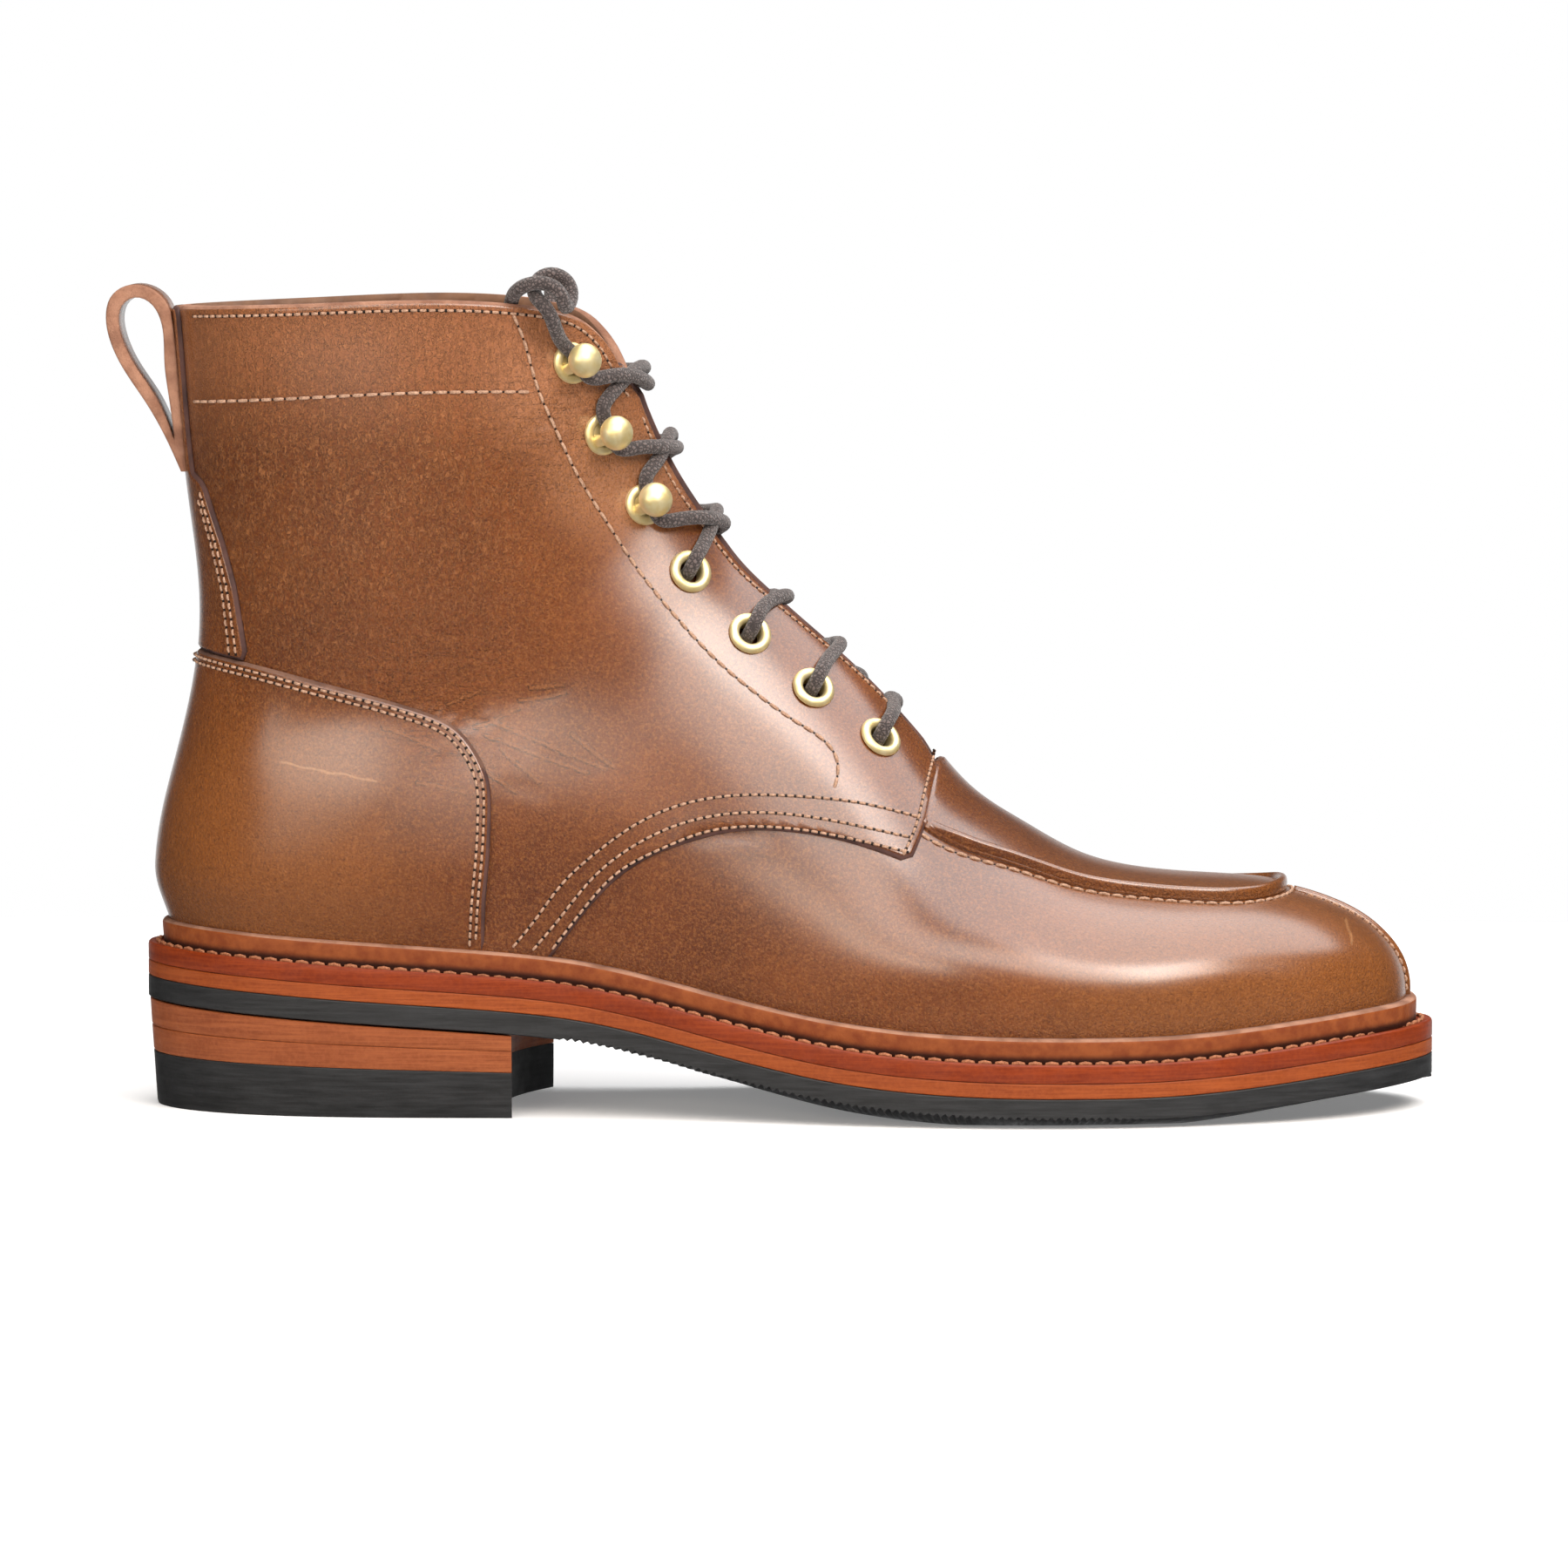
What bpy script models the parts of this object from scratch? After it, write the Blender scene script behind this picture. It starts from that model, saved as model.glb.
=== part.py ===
"""Split-toe lace-up boot for the right foot, with a storm welt and a stacked heel.

+X points to the toe, +Z up, and the outer side of the foot lies at -Y. The floor is z = 0.
Sizes and tables are in millimetres, and every mesh is made in metres.
"""

import math
from collections import namedtuple

import bmesh
import bpy
import numpy as np
from mathutils import Vector

MM = 0.001

# Driving sizes
SEAT_GAP = 0.3
WALL = 1.8
QUARTER_STEP = 1.2
OVERLAY = 1.2
WELT_FLAT = 4.5
MIDSOLE = 3.6
OUTSOLE = 5.2
WELT_LIP = 5.8
LIP_THICK = 2.2
INSOLE = 3.5
LACE_RADIUS = 1.7
LOOP_WIDTH = 14.0
LOOP_STEP = 4.2
EYELET_RADIUS = 5.2
EYELET_BORE = 2.7
HOOK_BALL = 4.1
HOOK_BASE = 4.9
HOOK_HEIGHT = 6.2

# How far the last's sections run below the seat, and places well clear of the boot for cuts
END_DROP = 8.0
BEHIND = -165.0
AHEAD = 165.0
BELOW = -40.0
ABOVE = 230.0

# Extra depth of the forms below the seat, so that no two of them share a face there
LAYER_DROP = 0.5
CORE_DROP = 2.0
INSIDE_DROP = 2.5
RIM_DROP = 0.2
OVERRUN = 1.0

# Outline of the sole from the heel to the toe, seen from above
OutlineRow = namedtuple("OutlineRow", "x outer inner")
SOLE_OUTLINE = [
    OutlineRow(-148.3, 0.0, 0.0),
    OutlineRow(-145.2, -12.0, 12.0),
    OutlineRow(-138.5, -20.5, 20.5),
    OutlineRow(-128.0, -27.8, 27.8),
    OutlineRow(-110.0, -33.6, 33.4),
    OutlineRow(-90.0, -35.6, 34.8),
    OutlineRow(-60.0, -35.4, 33.8),
    OutlineRow(-30.0, -37.4, 33.2),
    OutlineRow(0.0, -43.8, 36.4),
    OutlineRow(30.0, -50.0, 43.4),
    OutlineRow(55.0, -52.4, 49.0),
    OutlineRow(75.0, -51.3, 52.4),
    OutlineRow(95.0, -47.4, 50.6),
    OutlineRow(115.0, -40.2, 45.8),
    OutlineRow(131.0, -32.2, 39.4),
    OutlineRow(145.0, -20.4, 29.6),
    OutlineRow(153.6, -7.6, 19.2),
    OutlineRow(157.0, 6.0, 6.0),
]

# Height of the welt's flat top along the foot, and the outsole edge's lift above the tread
SoleRow = namedtuple("SoleRow", "x welt_top edge_lift")
SOLE_LINE = [
    SoleRow(-148.0, 38.9, 0.0),
    SoleRow(-120.0, 37.1, 0.0),
    SoleRow(-90.0, 35.2, 0.0),
    SoleRow(-60.0, 33.2, 0.0),
    SoleRow(-45.0, 31.5, 0.2),
    SoleRow(-30.0, 28.6, 0.6),
    SoleRow(-15.0, 24.9, 1.2),
    SoleRow(0.0, 21.4, 1.8),
    SoleRow(15.0, 18.5, 2.2),
    SoleRow(32.0, 16.5, 2.4),
    SoleRow(52.0, 15.4, 2.4),
    SoleRow(75.0, 15.1, 2.4),
    SoleRow(95.0, 15.4, 2.4),
    SoleRow(115.0, 16.8, 2.0),
    SoleRow(135.0, 18.9, 1.4),
    SoleRow(157.0, 20.6, 1.0),
]

# Sections of the last from the toe to the heel: each runs from the ridge down to the seat
FootRow = namedtuple(
    "FootRow",
    "top_x top_z middle end_x outer inner end_outer end_inner wide_at top_power low_power",
)
FOOT_ROWS = [
    FootRow(150.8, 27.6, 6.0, 150.4, 6.0, 6.0, 6.0, 6.0, 0.15, 2.0, 2.0),
    FootRow(149.6, 33.7, 6.0, 148.4, -5.8, 17.8, -4.0, 16.0, 0.36, 2.1, 2.0),
    FootRow(146.0, 39.3, 6.0, 144.2, -14.2, 24.6, -10.4, 20.8, 0.48, 2.25, 2.0),
    FootRow(140.0, 44.4, 6.0, 137.0, -21.2, 30.4, -16.0, 25.4, 0.54, 2.3, 2.0),
    FootRow(131.0, 48.7, 5.8, 127.0, -28.6, 36.2, -22.8, 30.6, 0.58, 2.35, 2.0),
    FootRow(118.0, 52.0, 5.4, 113.0, -35.0, 40.9, -29.0, 35.0, 0.60, 2.4, 2.0),
    FootRow(103.0, 53.2, 4.8, 97.0, -41.6, 45.0, -35.6, 39.0, 0.62, 2.4, 2.0),
    FootRow(88.0, 54.5, 4.0, 80.0, -45.6, 46.6, -39.6, 40.6, 0.63, 2.35, 2.0),
    FootRow(73.0, 58.2, 3.4, 61.0, -47.4, 45.8, -41.4, 39.8, 0.65, 2.3, 2.0),
    FootRow(59.0, 65.9, 3.0, 41.0, -47.0, 42.2, -40.6, 35.6, 0.65, 2.2, 2.0),
    FootRow(46.0, 74.9, 2.4, 20.0, -44.6, 38.0, -37.0, 29.6, 0.65, 2.1, 2.0),
    FootRow(34.0, 89.0, 1.9, -2.0, -40.6, 34.8, -31.6, 24.0, 0.64, 2.05, 2.0),
    FootRow(22.0, 102.8, 1.4, -25.0, -36.8, 32.6, -27.0, 20.6, 0.62, 2.0, 2.0),
    FootRow(11.0, 113.2, 1.0, -48.0, -34.4, 31.6, -24.6, 20.4, 0.60, 2.0, 2.0),
    FootRow(1.5, 121.9, 0.6, -70.0, -33.2, 31.4, -25.0, 22.6, 0.58, 2.0, 2.0),
    FootRow(-6.0, 129.4, 0.3, -91.0, -32.6, 31.6, -25.0, 23.8, 0.56, 2.0, 2.05),
    FootRow(-11.5, 136.8, 0.1, -110.0, -32.3, 31.8, -22.4, 22.2, 0.54, 2.0, 2.1),
    FootRow(-15.8, 143.2, 0.0, -126.0, -32.2, 32.0, -16.4, 16.4, 0.53, 2.0, 2.15),
    FootRow(-19.0, 148.2, 0.0, -137.0, -32.2, 32.1, -8.4, 8.4, 0.52, 2.0, 2.2),
    FootRow(-21.6, 152.6, 0.0, -141.1, -32.3, 32.2, 0.0, 0.0, 0.52, 2.0, 2.2),
]

# Sections of the leg from the heel to above the collar: each runs from the front to the back
LegRow = namedtuple("LegRow", "top_x top_z back_x back_z half wide_at top_power low_power")
LEG_ROWS = [
    LegRow(-23.8, 156.6, -142.4, 50.0, 32.4, 0.52, 2.0, 2.05),
    LegRow(-26.3, 161.8, -142.0, 67.0, 32.6, 0.52, 2.0, 2.05),
    LegRow(-28.6, 167.0, -138.3, 84.5, 32.8, 0.52, 2.0, 2.05),
    LegRow(-30.6, 172.2, -134.3, 103.0, 33.0, 0.52, 2.05, 2.05),
    LegRow(-32.4, 177.2, -133.4, 124.0, 33.2, 0.51, 2.1, 2.05),
    LegRow(-34.0, 182.6, -136.2, 148.0, 33.6, 0.50, 2.1, 2.05),
    LegRow(-35.4, 188.6, -138.2, 172.0, 34.4, 0.50, 2.1, 2.05),
    LegRow(-36.8, 198.0, -140.2, 198.0, 35.4, 0.50, 2.1, 2.05),
]
HEEL_ROW = len(FOOT_ROWS) - 1
LAST_ROW = HEEL_ROW + len(LEG_ROWS)

# Outlines of the overlays and cuts, seen from the outer side
SidePoint = namedtuple("SidePoint", "x z")
COLLAR = [
    SidePoint(BEHIND, 188.8),
    SidePoint(-133.0, 189.7),
    SidePoint(-106.0, 190.7),
    SidePoint(-60.0, 190.7),
    SidePoint(-50.5, 189.4),
    SidePoint(-43.0, 186.6),
    SidePoint(-37.5, 182.6),
    SidePoint(-33.0, 176.5),
    SidePoint(-10.0, 172.0),
]
QUARTER_EDGE = [
    SidePoint(44.0, 96.0),
    SidePoint(39.8, 82.3),
    SidePoint(38.2, 74.8),
    SidePoint(36.6, 67.6),
    SidePoint(33.6, 60.4),
    SidePoint(22.4, 64.4),
    SidePoint(11.4, 67.0),
    SidePoint(0.5, 68.0),
    SidePoint(-8.0, 67.6),
    SidePoint(-17.6, 65.3),
    SidePoint(-27.0, 61.7),
    SidePoint(-35.8, 55.7),
    SidePoint(-43.2, 47.6),
]
COUNTER_EDGE = [
    SidePoint(BEHIND, 112.0),
    SidePoint(-134.0, 108.0),
    SidePoint(-119.4, 105.6),
    SidePoint(-104.3, 102.0),
    SidePoint(-92.6, 98.9),
    SidePoint(-81.9, 95.6),
    SidePoint(-73.0, 91.4),
    SidePoint(-67.7, 85.3),
    SidePoint(-65.0, 79.4),
    SidePoint(-64.4, 71.6),
    SidePoint(-64.6, 64.0),
    SidePoint(-65.6, 52.0),
]

# Outline of the apron from the throat to its front, seen from above
ApronRow = namedtuple("ApronRow", "x outer inner")
APRON_ROWS = [
    ApronRow(41.5, -28.6, 33.0),
    ApronRow(55.0, -27.2, 32.6),
    ApronRow(70.0, -24.4, 31.2),
    ApronRow(85.0, -21.6, 29.8),
    ApronRow(100.0, -20.0, 29.2),
    ApronRow(111.0, -17.0, 27.0),
    ApronRow(118.0, -10.8, 22.0),
    ApronRow(122.3, 6.0, 6.0),
]
RIM_WIDTH = 2.6
RIM_RISE = 1.7
TOE_SEAM_HALF = 1.5

# Half-width of the backstay by height, seen from behind
BackRow = namedtuple("BackRow", "z half")
BACKSTAY_ROWS = [
    BackRow(90.0, 21.0),
    BackRow(104.0, 20.5),
    BackRow(124.0, 19.1),
    BackRow(135.0, 17.3),
    BackRow(143.0, 15.4),
    BackRow(148.6, 14.0),
]

# Side view of the pull loop behind the collar, up its outer face and down along the shaft
LOOP_FACE = [
    SidePoint(-139.4, 150.3),
    SidePoint(-143.1, 158.5),
    SidePoint(-147.8, 166.8),
    SidePoint(-153.2, 175.0),
    SidePoint(-156.4, 182.4),
    SidePoint(-157.0, 187.4),
    SidePoint(-155.8, 191.6),
    SidePoint(-153.0, 193.9),
    SidePoint(-149.7, 194.5),
    SidePoint(-145.6, 193.2),
    SidePoint(-142.6, 190.2),
    SidePoint(-141.1, 185.0),
    SidePoint(-140.0, 174.0),
    SidePoint(-139.3, 166.0),
    SidePoint(-137.9, 150.3),
]

# The hole of the pull loop, from its lower corner up the outer leg and down the inner one
LOOP_HOLE = [
    SidePoint(-142.0, 162.4),
    SidePoint(-145.2, 168.0),
    SidePoint(-150.6, 176.2),
    SidePoint(-153.4, 182.8),
    SidePoint(-153.9, 187.0),
    SidePoint(-152.6, 190.2),
    SidePoint(-149.6, 191.4),
    SidePoint(-146.6, 190.2),
    SidePoint(-144.4, 187.0),
    SidePoint(-143.2, 176.0),
    SidePoint(-142.4, 168.0),
]

# Places of eyelets and hooks on the outer side
EYELETS = [
    SidePoint(25.7, 88.0),
    SidePoint(10.1, 99.7),
    SidePoint(-4.8, 112.4),
    SidePoint(-18.9, 127.1),
]
HOOKS = [
    SidePoint(-29.8, 142.9),
    SidePoint(-39.6, 159.7),
    SidePoint(-46.5, 176.5),
]

# Half-width of the throat along the ridge, by row of the last
THROAT_START = 10.55
THROAT_HALF_LOW = 7.0
THROAT_HALF_HIGH = 8.6

# Curves through the tables


def spline(knots, values):
    """A natural cubic curve through the values at the knots, level past its ends."""
    knots = np.asarray(knots, float)
    values = np.asarray(values, float)
    gaps = np.diff(knots)
    slopes = np.diff(values) / gaps
    count = len(knots)
    system = np.eye(count)
    right = np.zeros(count)
    for i in range(1, count - 1):
        system[i, i - 1 : i + 2] = gaps[i - 1], 2 * (gaps[i - 1] + gaps[i]), gaps[i]
        right[i] = 6 * (slopes[i] - slopes[i - 1])
    bend = np.linalg.solve(system, right)

    def at(where):
        where = np.clip(where, knots[0], knots[-1])
        i = np.clip(np.searchsorted(knots, where) - 1, 0, count - 2)
        before = (where - knots[i]) / gaps[i]
        after = 1 - before
        straight = after * values[i] + before * values[i + 1]
        curve = (after**3 - after) * bend[i] + (before**3 - before) * bend[i + 1]
        return straight + curve * gaps[i] ** 2 / 6

    return at


def column(table, name):
    return [getattr(row, name) for row in table]


def sole_curve(name):
    return spline(column(SOLE_LINE, "x"), column(SOLE_LINE, name))


welt_top = sole_curve("welt_top")
edge_lift = sole_curve("edge_lift")


def midsole_top(x):
    return welt_top(x) - WELT_FLAT


def seat(x):
    """Height at which the upper and the insole stand on the midsole."""
    return midsole_top(x) + SEAT_GAP


def outsole_top(x):
    return midsole_top(x) - MIDSOLE


def outsole_edge(x):
    return outsole_top(x) - OUTSOLE


def outsole_tread(x):
    """Height of the tread inside its lifted edge, level with the floor under the ball."""
    return np.maximum(outsole_edge(x) - edge_lift(x), 0.0)


def lip_top(x):
    return welt_top(x) + WELT_LIP


def closed_outline(table, samples=1600):
    """The outer and inner edge of a closed outline, as two dense lines from heel to toe."""
    outer = [(row.x, row.outer) for row in table]
    inner = [(row.x, row.inner) for row in table[-2:0:-1]]
    loop = np.array(outer + inner)
    wrapped = np.concatenate([loop[-4:], loop, loop[:5]])
    along = np.concatenate([[0], np.cumsum(np.linalg.norm(np.diff(wrapped, axis=0), axis=1))])
    x_at = spline(along, wrapped[:, 0])
    y_at = spline(along, wrapped[:, 1])
    heel, toe, again = along[4], along[4 + len(outer) - 1], along[4 + len(loop)]
    outer_run = np.linspace(heel, toe, samples)
    inner_run = np.linspace(again, toe, samples)
    return [np.stack([x_at(run), y_at(run)], axis=1) for run in (outer_run, inner_run)]


def edge_at(line, x):
    return np.interp(x, np.maximum.accumulate(line[:, 0]), line[:, 1])


OUTER_EDGE, INNER_EDGE = closed_outline(SOLE_OUTLINE)

# The last's surface

ALL_ROWS = np.arange(LAST_ROW + 1)


def row_curve(values, before_toe):
    """A curve along the rows of the last, continued past the toe by the values given."""
    knots = np.concatenate([[-2, -1], np.arange(len(values))])
    return spline(knots, np.concatenate([before_toe, values]))


def mirrored(values):
    return [values[2], values[1]]


def foot_and_leg(name):
    return column(FOOT_ROWS, name) + column(LEG_ROWS, name)


def last_curves():
    """The curves of the last by name: ridge, widest places, ends and fullness."""
    top_x = foot_and_leg("top_x")
    top_z = foot_and_leg("top_z")
    half = column(LEG_ROWS, "half")
    outer = column(FOOT_ROWS, "outer") + [-value for value in half]
    inner = column(FOOT_ROWS, "inner") + half
    middle = column(FOOT_ROWS, "middle") + [0.0] * len(LEG_ROWS)
    end_x = column(FOOT_ROWS, "end_x")
    end_outer = column(FOOT_ROWS, "end_outer")
    end_inner = column(FOOT_ROWS, "end_inner")
    heel_x = end_x[-1]
    heel_z = float(seat(heel_x)) - END_DROP
    leg_knots = np.arange(HEEL_ROW, LAST_ROW + 1)
    past_heel = [HEEL_ROW + 1, HEEL_ROW + 2]

    def foot_curve(values, before_toe, after_heel):
        knots = np.concatenate([[-2, -1], np.arange(len(values)), past_heel])
        return spline(knots, np.concatenate([before_toe, values, after_heel]))

    curves = {
        "top_x": row_curve(top_x, mirrored(top_x)),
        "top_z": spline(ALL_ROWS, top_z),
        "middle": row_curve(middle, mirrored(middle)),
        "outer": row_curve(outer, mirrored(inner)),
        "inner": row_curve(inner, mirrored(outer)),
        "end_x": foot_curve(end_x, mirrored(end_x), [end_x[-2], end_x[-3]]),
        "end_outer": foot_curve(end_outer, mirrored(end_inner), [end_inner[-2], end_inner[-3]]),
        "end_inner": foot_curve(end_inner, mirrored(end_outer), [end_outer[-2], end_outer[-3]]),
        "back_x": spline(leg_knots, [heel_x] + column(LEG_ROWS, "back_x")),
        "back_z": spline(leg_knots, [heel_z] + column(LEG_ROWS, "back_z")),
    }
    for name in ("wide_at", "top_power", "low_power"):
        curves[name] = spline(ALL_ROWS, foot_and_leg(name))
    return curves


CURVES = last_curves()


def half_section(row, side, count):
    """Points of one half of a section, evenly spaced from the ridge to its end."""
    at = {name: float(curve(row)) for name, curve in CURVES.items()}
    if row <= HEEL_ROW:
        end = at["end_x"], float(seat(at["end_x"])) - END_DROP, at["end_" + side]
    else:
        end = at["back_x"], at["back_z"], 0.0
    quarter = np.linspace(0, math.pi / 2, 40)
    top_power = 2 / at["top_power"]
    low_power = 2 / at["low_power"]
    wide = at["wide_at"]
    down = np.concatenate(
        [
            wide * (1 - np.cos(quarter) ** top_power),
            (wide + (1 - wide) * np.sin(quarter) ** low_power)[1:],
        ]
    )
    across = np.concatenate(
        [
            at["middle"] + (at[side] - at["middle"]) * np.sin(quarter) ** top_power,
            (end[2] + (at[side] - end[2]) * np.cos(quarter) ** low_power)[1:],
        ]
    )
    line = np.stack(
        [
            at["top_x"] + (end[0] - at["top_x"]) * down,
            across,
            at["top_z"] + (end[1] - at["top_z"]) * down,
        ],
        axis=1,
    )
    run = np.concatenate([[0], np.cumsum(np.linalg.norm(np.diff(line, axis=0), axis=1))])
    even = np.linspace(0, run[-1], count)
    return np.stack([np.interp(even, run, line[:, k]) for k in range(3)], axis=1)


# Drawing in of the leg above the heel, as a share of its width
ANKLE_SHARE = 0.14
ANKLE_Z = 99.0
ANKLE_SPREAD = 19.0
ANKLE_FRONT_X = -38.0
ANKLE_FULL_X = -62.0


def narrowed(points):
    """The same points with the leg drawn in above the heel."""
    height = np.exp(-(((points[..., 2] - ANKLE_Z) / ANKLE_SPREAD) ** 2))
    back = np.clip((points[..., 0] - ANKLE_FRONT_X) / (ANKLE_FULL_X - ANKLE_FRONT_X), 0, 1)
    drawn = points.copy()
    drawn[..., 1] *= 1 - ANKLE_SHARE * height * back * back * (3 - 2 * back)
    return drawn


def last_grid(rows, half_columns):
    """Points and outward normals of the last, row by row from the outer to the inner end."""
    points = []
    for row in rows:
        outer = half_section(row, "outer", half_columns)
        inner = half_section(row, "inner", half_columns)
        points.append(np.concatenate([outer[::-1], inner[1:]]))
    points = narrowed(np.array(points))
    along = np.gradient(points, axis=0)
    across = np.gradient(points, axis=1)
    normals = np.cross(across, along)
    normals /= np.maximum(np.linalg.norm(normals, axis=2, keepdims=True), 1e-12)
    normals[0] = normals[0] + normals[0, ::-1]
    ridge_column = half_columns - 1
    normals[0, ridge_column] = normals[0, ridge_column - 1] + normals[1, ridge_column]
    closed = np.asarray(rows) >= HEEL_ROW
    ends = normals[closed, 0] + normals[closed, -1]
    normals[closed, 0] = ends
    normals[closed, -1] = ends
    normals /= np.maximum(np.linalg.norm(normals, axis=2, keepdims=True), 1e-12)
    return points, normals


# Rows closer together at the toe and heel, where the last turns most
FORM_ROWS = np.concatenate(
    [
        [0, 0.35, 0.8, 1.4, 2.1],
        np.linspace(3, 17, 14),
        [17.8, 18.5, 19, 19.4],
        np.arange(20, 26.1, 0.9),
        [LAST_ROW],
    ]
)
FORM_COLUMNS = 10
FORM_POINTS, FORM_NORMALS = last_grid(FORM_ROWS, FORM_COLUMNS)
FINE_ROWS = np.linspace(0, LAST_ROW, 271)
FINE_POINTS, FINE_NORMALS = last_grid(FINE_ROWS, 61)


def surface_at(x, z, side):
    """The row, place and normal on the last's outer or inner side at a side-view place."""
    middle = FINE_POINTS.shape[1] // 2
    part = slice(0, middle + 1) if side == "outer" else slice(middle, None)
    points = FINE_POINTS[:, part].reshape(-1, 3)
    normals = FINE_NORMALS[:, part].reshape(-1, 3)
    outward = -1.0 if side == "outer" else 1.0
    away = np.hypot(points[:, 0] - x, points[:, 2] - z)
    away[normals[:, 1] * outward < 0.1] = np.inf
    nearest = int(away.argmin())
    point = points[nearest].copy()
    normal = normals[nearest]
    step_x, step_z = x - point[0], z - point[2]
    point += [step_x, -(normal[0] * step_x + normal[2] * step_z) / normal[1], step_z]
    return FINE_ROWS[nearest // (middle + 1)], point, normal


# Mesh tools

CREASE_ANGLE = math.radians(28)


def clear_scene():
    for item in list(bpy.data.objects):
        bpy.data.objects.remove(item)


def new_object(name, vertices, faces):
    """A closed mesh in metres from points in millimetres, with its faces turned outward."""
    bm = bmesh.new()
    corners = [bm.verts.new(Vector(v) * MM) for v in vertices]
    for face in faces:
        bm.faces.new([corners[i] for i in face])
    bmesh.ops.remove_doubles(bm, verts=bm.verts, dist=1e-7)
    bmesh.ops.recalc_face_normals(bm, faces=bm.faces)
    mesh = bpy.data.meshes.new(name)
    bm.to_mesh(mesh)
    bm.free()
    item = bpy.data.objects.new(name, mesh)
    bpy.context.scene.collection.objects.link(item)
    return item


def combine(item, tool, operation):
    """Cut, join or intersect an item with a tool, which is used up."""
    modifier = item.modifiers.new("combine", "BOOLEAN")
    modifier.operation = operation
    modifier.solver = "EXACT"
    modifier.object = tool
    depsgraph = bpy.context.evaluated_depsgraph_get()
    mesh = bpy.data.meshes.new_from_object(item.evaluated_get(depsgraph))
    item.modifiers.clear()
    item.data = mesh
    bpy.data.objects.remove(tool)
    return item


def cut(item, tool):
    return combine(item, tool, "DIFFERENCE")


def keep(item, tool):
    return combine(item, tool, "INTERSECT")


def join(item, tool):
    return combine(item, tool, "UNION")


def even(offset):
    return offset * np.ones(FORM_POINTS.shape[:2])


def form(name, offset, extra_drop=0.0):
    """A closed solid of the last, grown by an offset in millimetres at each point."""
    points = FORM_POINTS + FORM_NORMALS * np.asarray(offset)[..., None]
    open_rows = FORM_ROWS <= HEEL_ROW
    points[open_rows, 0, 2] -= extra_drop
    points[open_rows, -1, 2] -= extra_drop
    points[-1, :, 2] += extra_drop
    rows, columns = points.shape[:2]

    def index(i, j):
        return i * columns + j

    faces = []
    for i in range(rows - 1):
        for j in range(columns - 1):
            low, high = (j, j + 1) if j < columns // 2 else (j + 1, j)
            faces.append([index(i, low), index(i + 1, low), index(i, high)])
            faces.append([index(i, high), index(i + 1, low), index(i + 1, high)])
        if open_rows[i + 1]:
            last = columns - 1
            faces.append([index(i, 0), index(i, last), index(i + 1, last), index(i + 1, 0)])
    faces.append([index(rows - 1, j) for j in range(columns - 1)])
    points = points.reshape(-1, 3)
    return new_object(name, points, merged_faces(points, faces))


def merged_faces(points, faces):
    """The same faces on the first of any points that coincide, without corners that vanish."""
    first = {}
    same = []
    for i, point in enumerate(points):
        same.append(first.setdefault(tuple(np.round(point, 4)), i))
    kept = []
    for face in faces:
        corners = list(dict.fromkeys(same[i] for i in face))
        if len(corners) > 2:
            kept.append(corners)
    return kept


def prism(name, outline, place, near, far):
    """An outline of 2-D points, extruded between two depths by a function that places them."""
    count = len(outline)
    vertices = [place(a, b, near) for a, b in outline] + [place(a, b, far) for a, b in outline]
    faces = [list(range(count)), list(range(2 * count - 1, count - 1, -1))]
    for i in range(count):
        j = (i + 1) % count
        faces.append([i, j, count + j, count + i])
    return new_object(name, vertices, faces)


def side_prism(name, outline, near=-90.0, far=90.0):
    return prism(name, outline, lambda x, z, y: (x, y, z), near, far)


def plan_prism(name, outline, near, far):
    return prism(name, outline, lambda x, y, z: (x, y, z), near, far)


def back_prism(name, outline, near, far):
    return prism(name, outline, lambda y, z, x: (x, y, z), near, far)


def lathe(name, profile, segments, point, axis):
    """A closed profile of (radius, height) corners, turned about an axis at a point."""
    turn = Vector((0, 0, 1)).rotation_difference(Vector(axis)).to_matrix()
    vertices = []
    for k in range(segments):
        angle = 2 * math.pi * k / segments
        for radius, height in profile:
            arm = Vector((radius * math.cos(angle), radius * math.sin(angle), height))
            vertices.append(Vector(point) + turn @ arm)
    size = len(profile)
    faces = []
    for k in range(segments):
        after = (k + 1) % segments
        for i in range(size):
            j = (i + 1) % size
            faces.append([k * size + i, after * size + i, after * size + j, k * size + j])
    return new_object(name, vertices, merged_faces(vertices, faces))


def smooth_route(route, step):
    """Points about a step apart on a smooth curve through a route's own points."""
    route = np.array(route, float)
    along = np.concatenate([[0], np.cumsum(np.linalg.norm(np.diff(route, axis=0), axis=1))])
    curves = [spline(along, route[:, k]) for k in range(route.shape[1])]
    even = np.linspace(0, along[-1], max(3, int(round(along[-1] / step)) + 1))
    return np.stack([curve(even) for curve in curves], axis=1)


def cord(name, route, radius, step):
    """A round cord along a route, as a curve with filled ends."""
    points = smooth_route(route, step)
    curve = bpy.data.curves.new(name, "CURVE")
    curve.dimensions = "3D"
    curve.bevel_depth = radius * MM
    curve.bevel_resolution = 2
    curve.use_fill_caps = True
    line = curve.splines.new("POLY")
    line.points.add(len(points) - 1)
    for target, point in zip(line.points, points):
        target.co = (*(Vector(point) * MM), 1.0)
    item = bpy.data.objects.new(name, curve)
    bpy.context.scene.collection.objects.link(item)
    return item


def as_mesh(item):
    """The same object as a mesh, so that it can be joined to another."""
    depsgraph = bpy.context.evaluated_depsgraph_get()
    mesh = bpy.data.meshes.new_from_object(item.evaluated_get(depsgraph))
    name = item.name
    bpy.data.objects.remove(item)
    solid = bpy.data.objects.new(name, mesh)
    bpy.context.scene.collection.objects.link(solid)
    return solid


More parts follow.
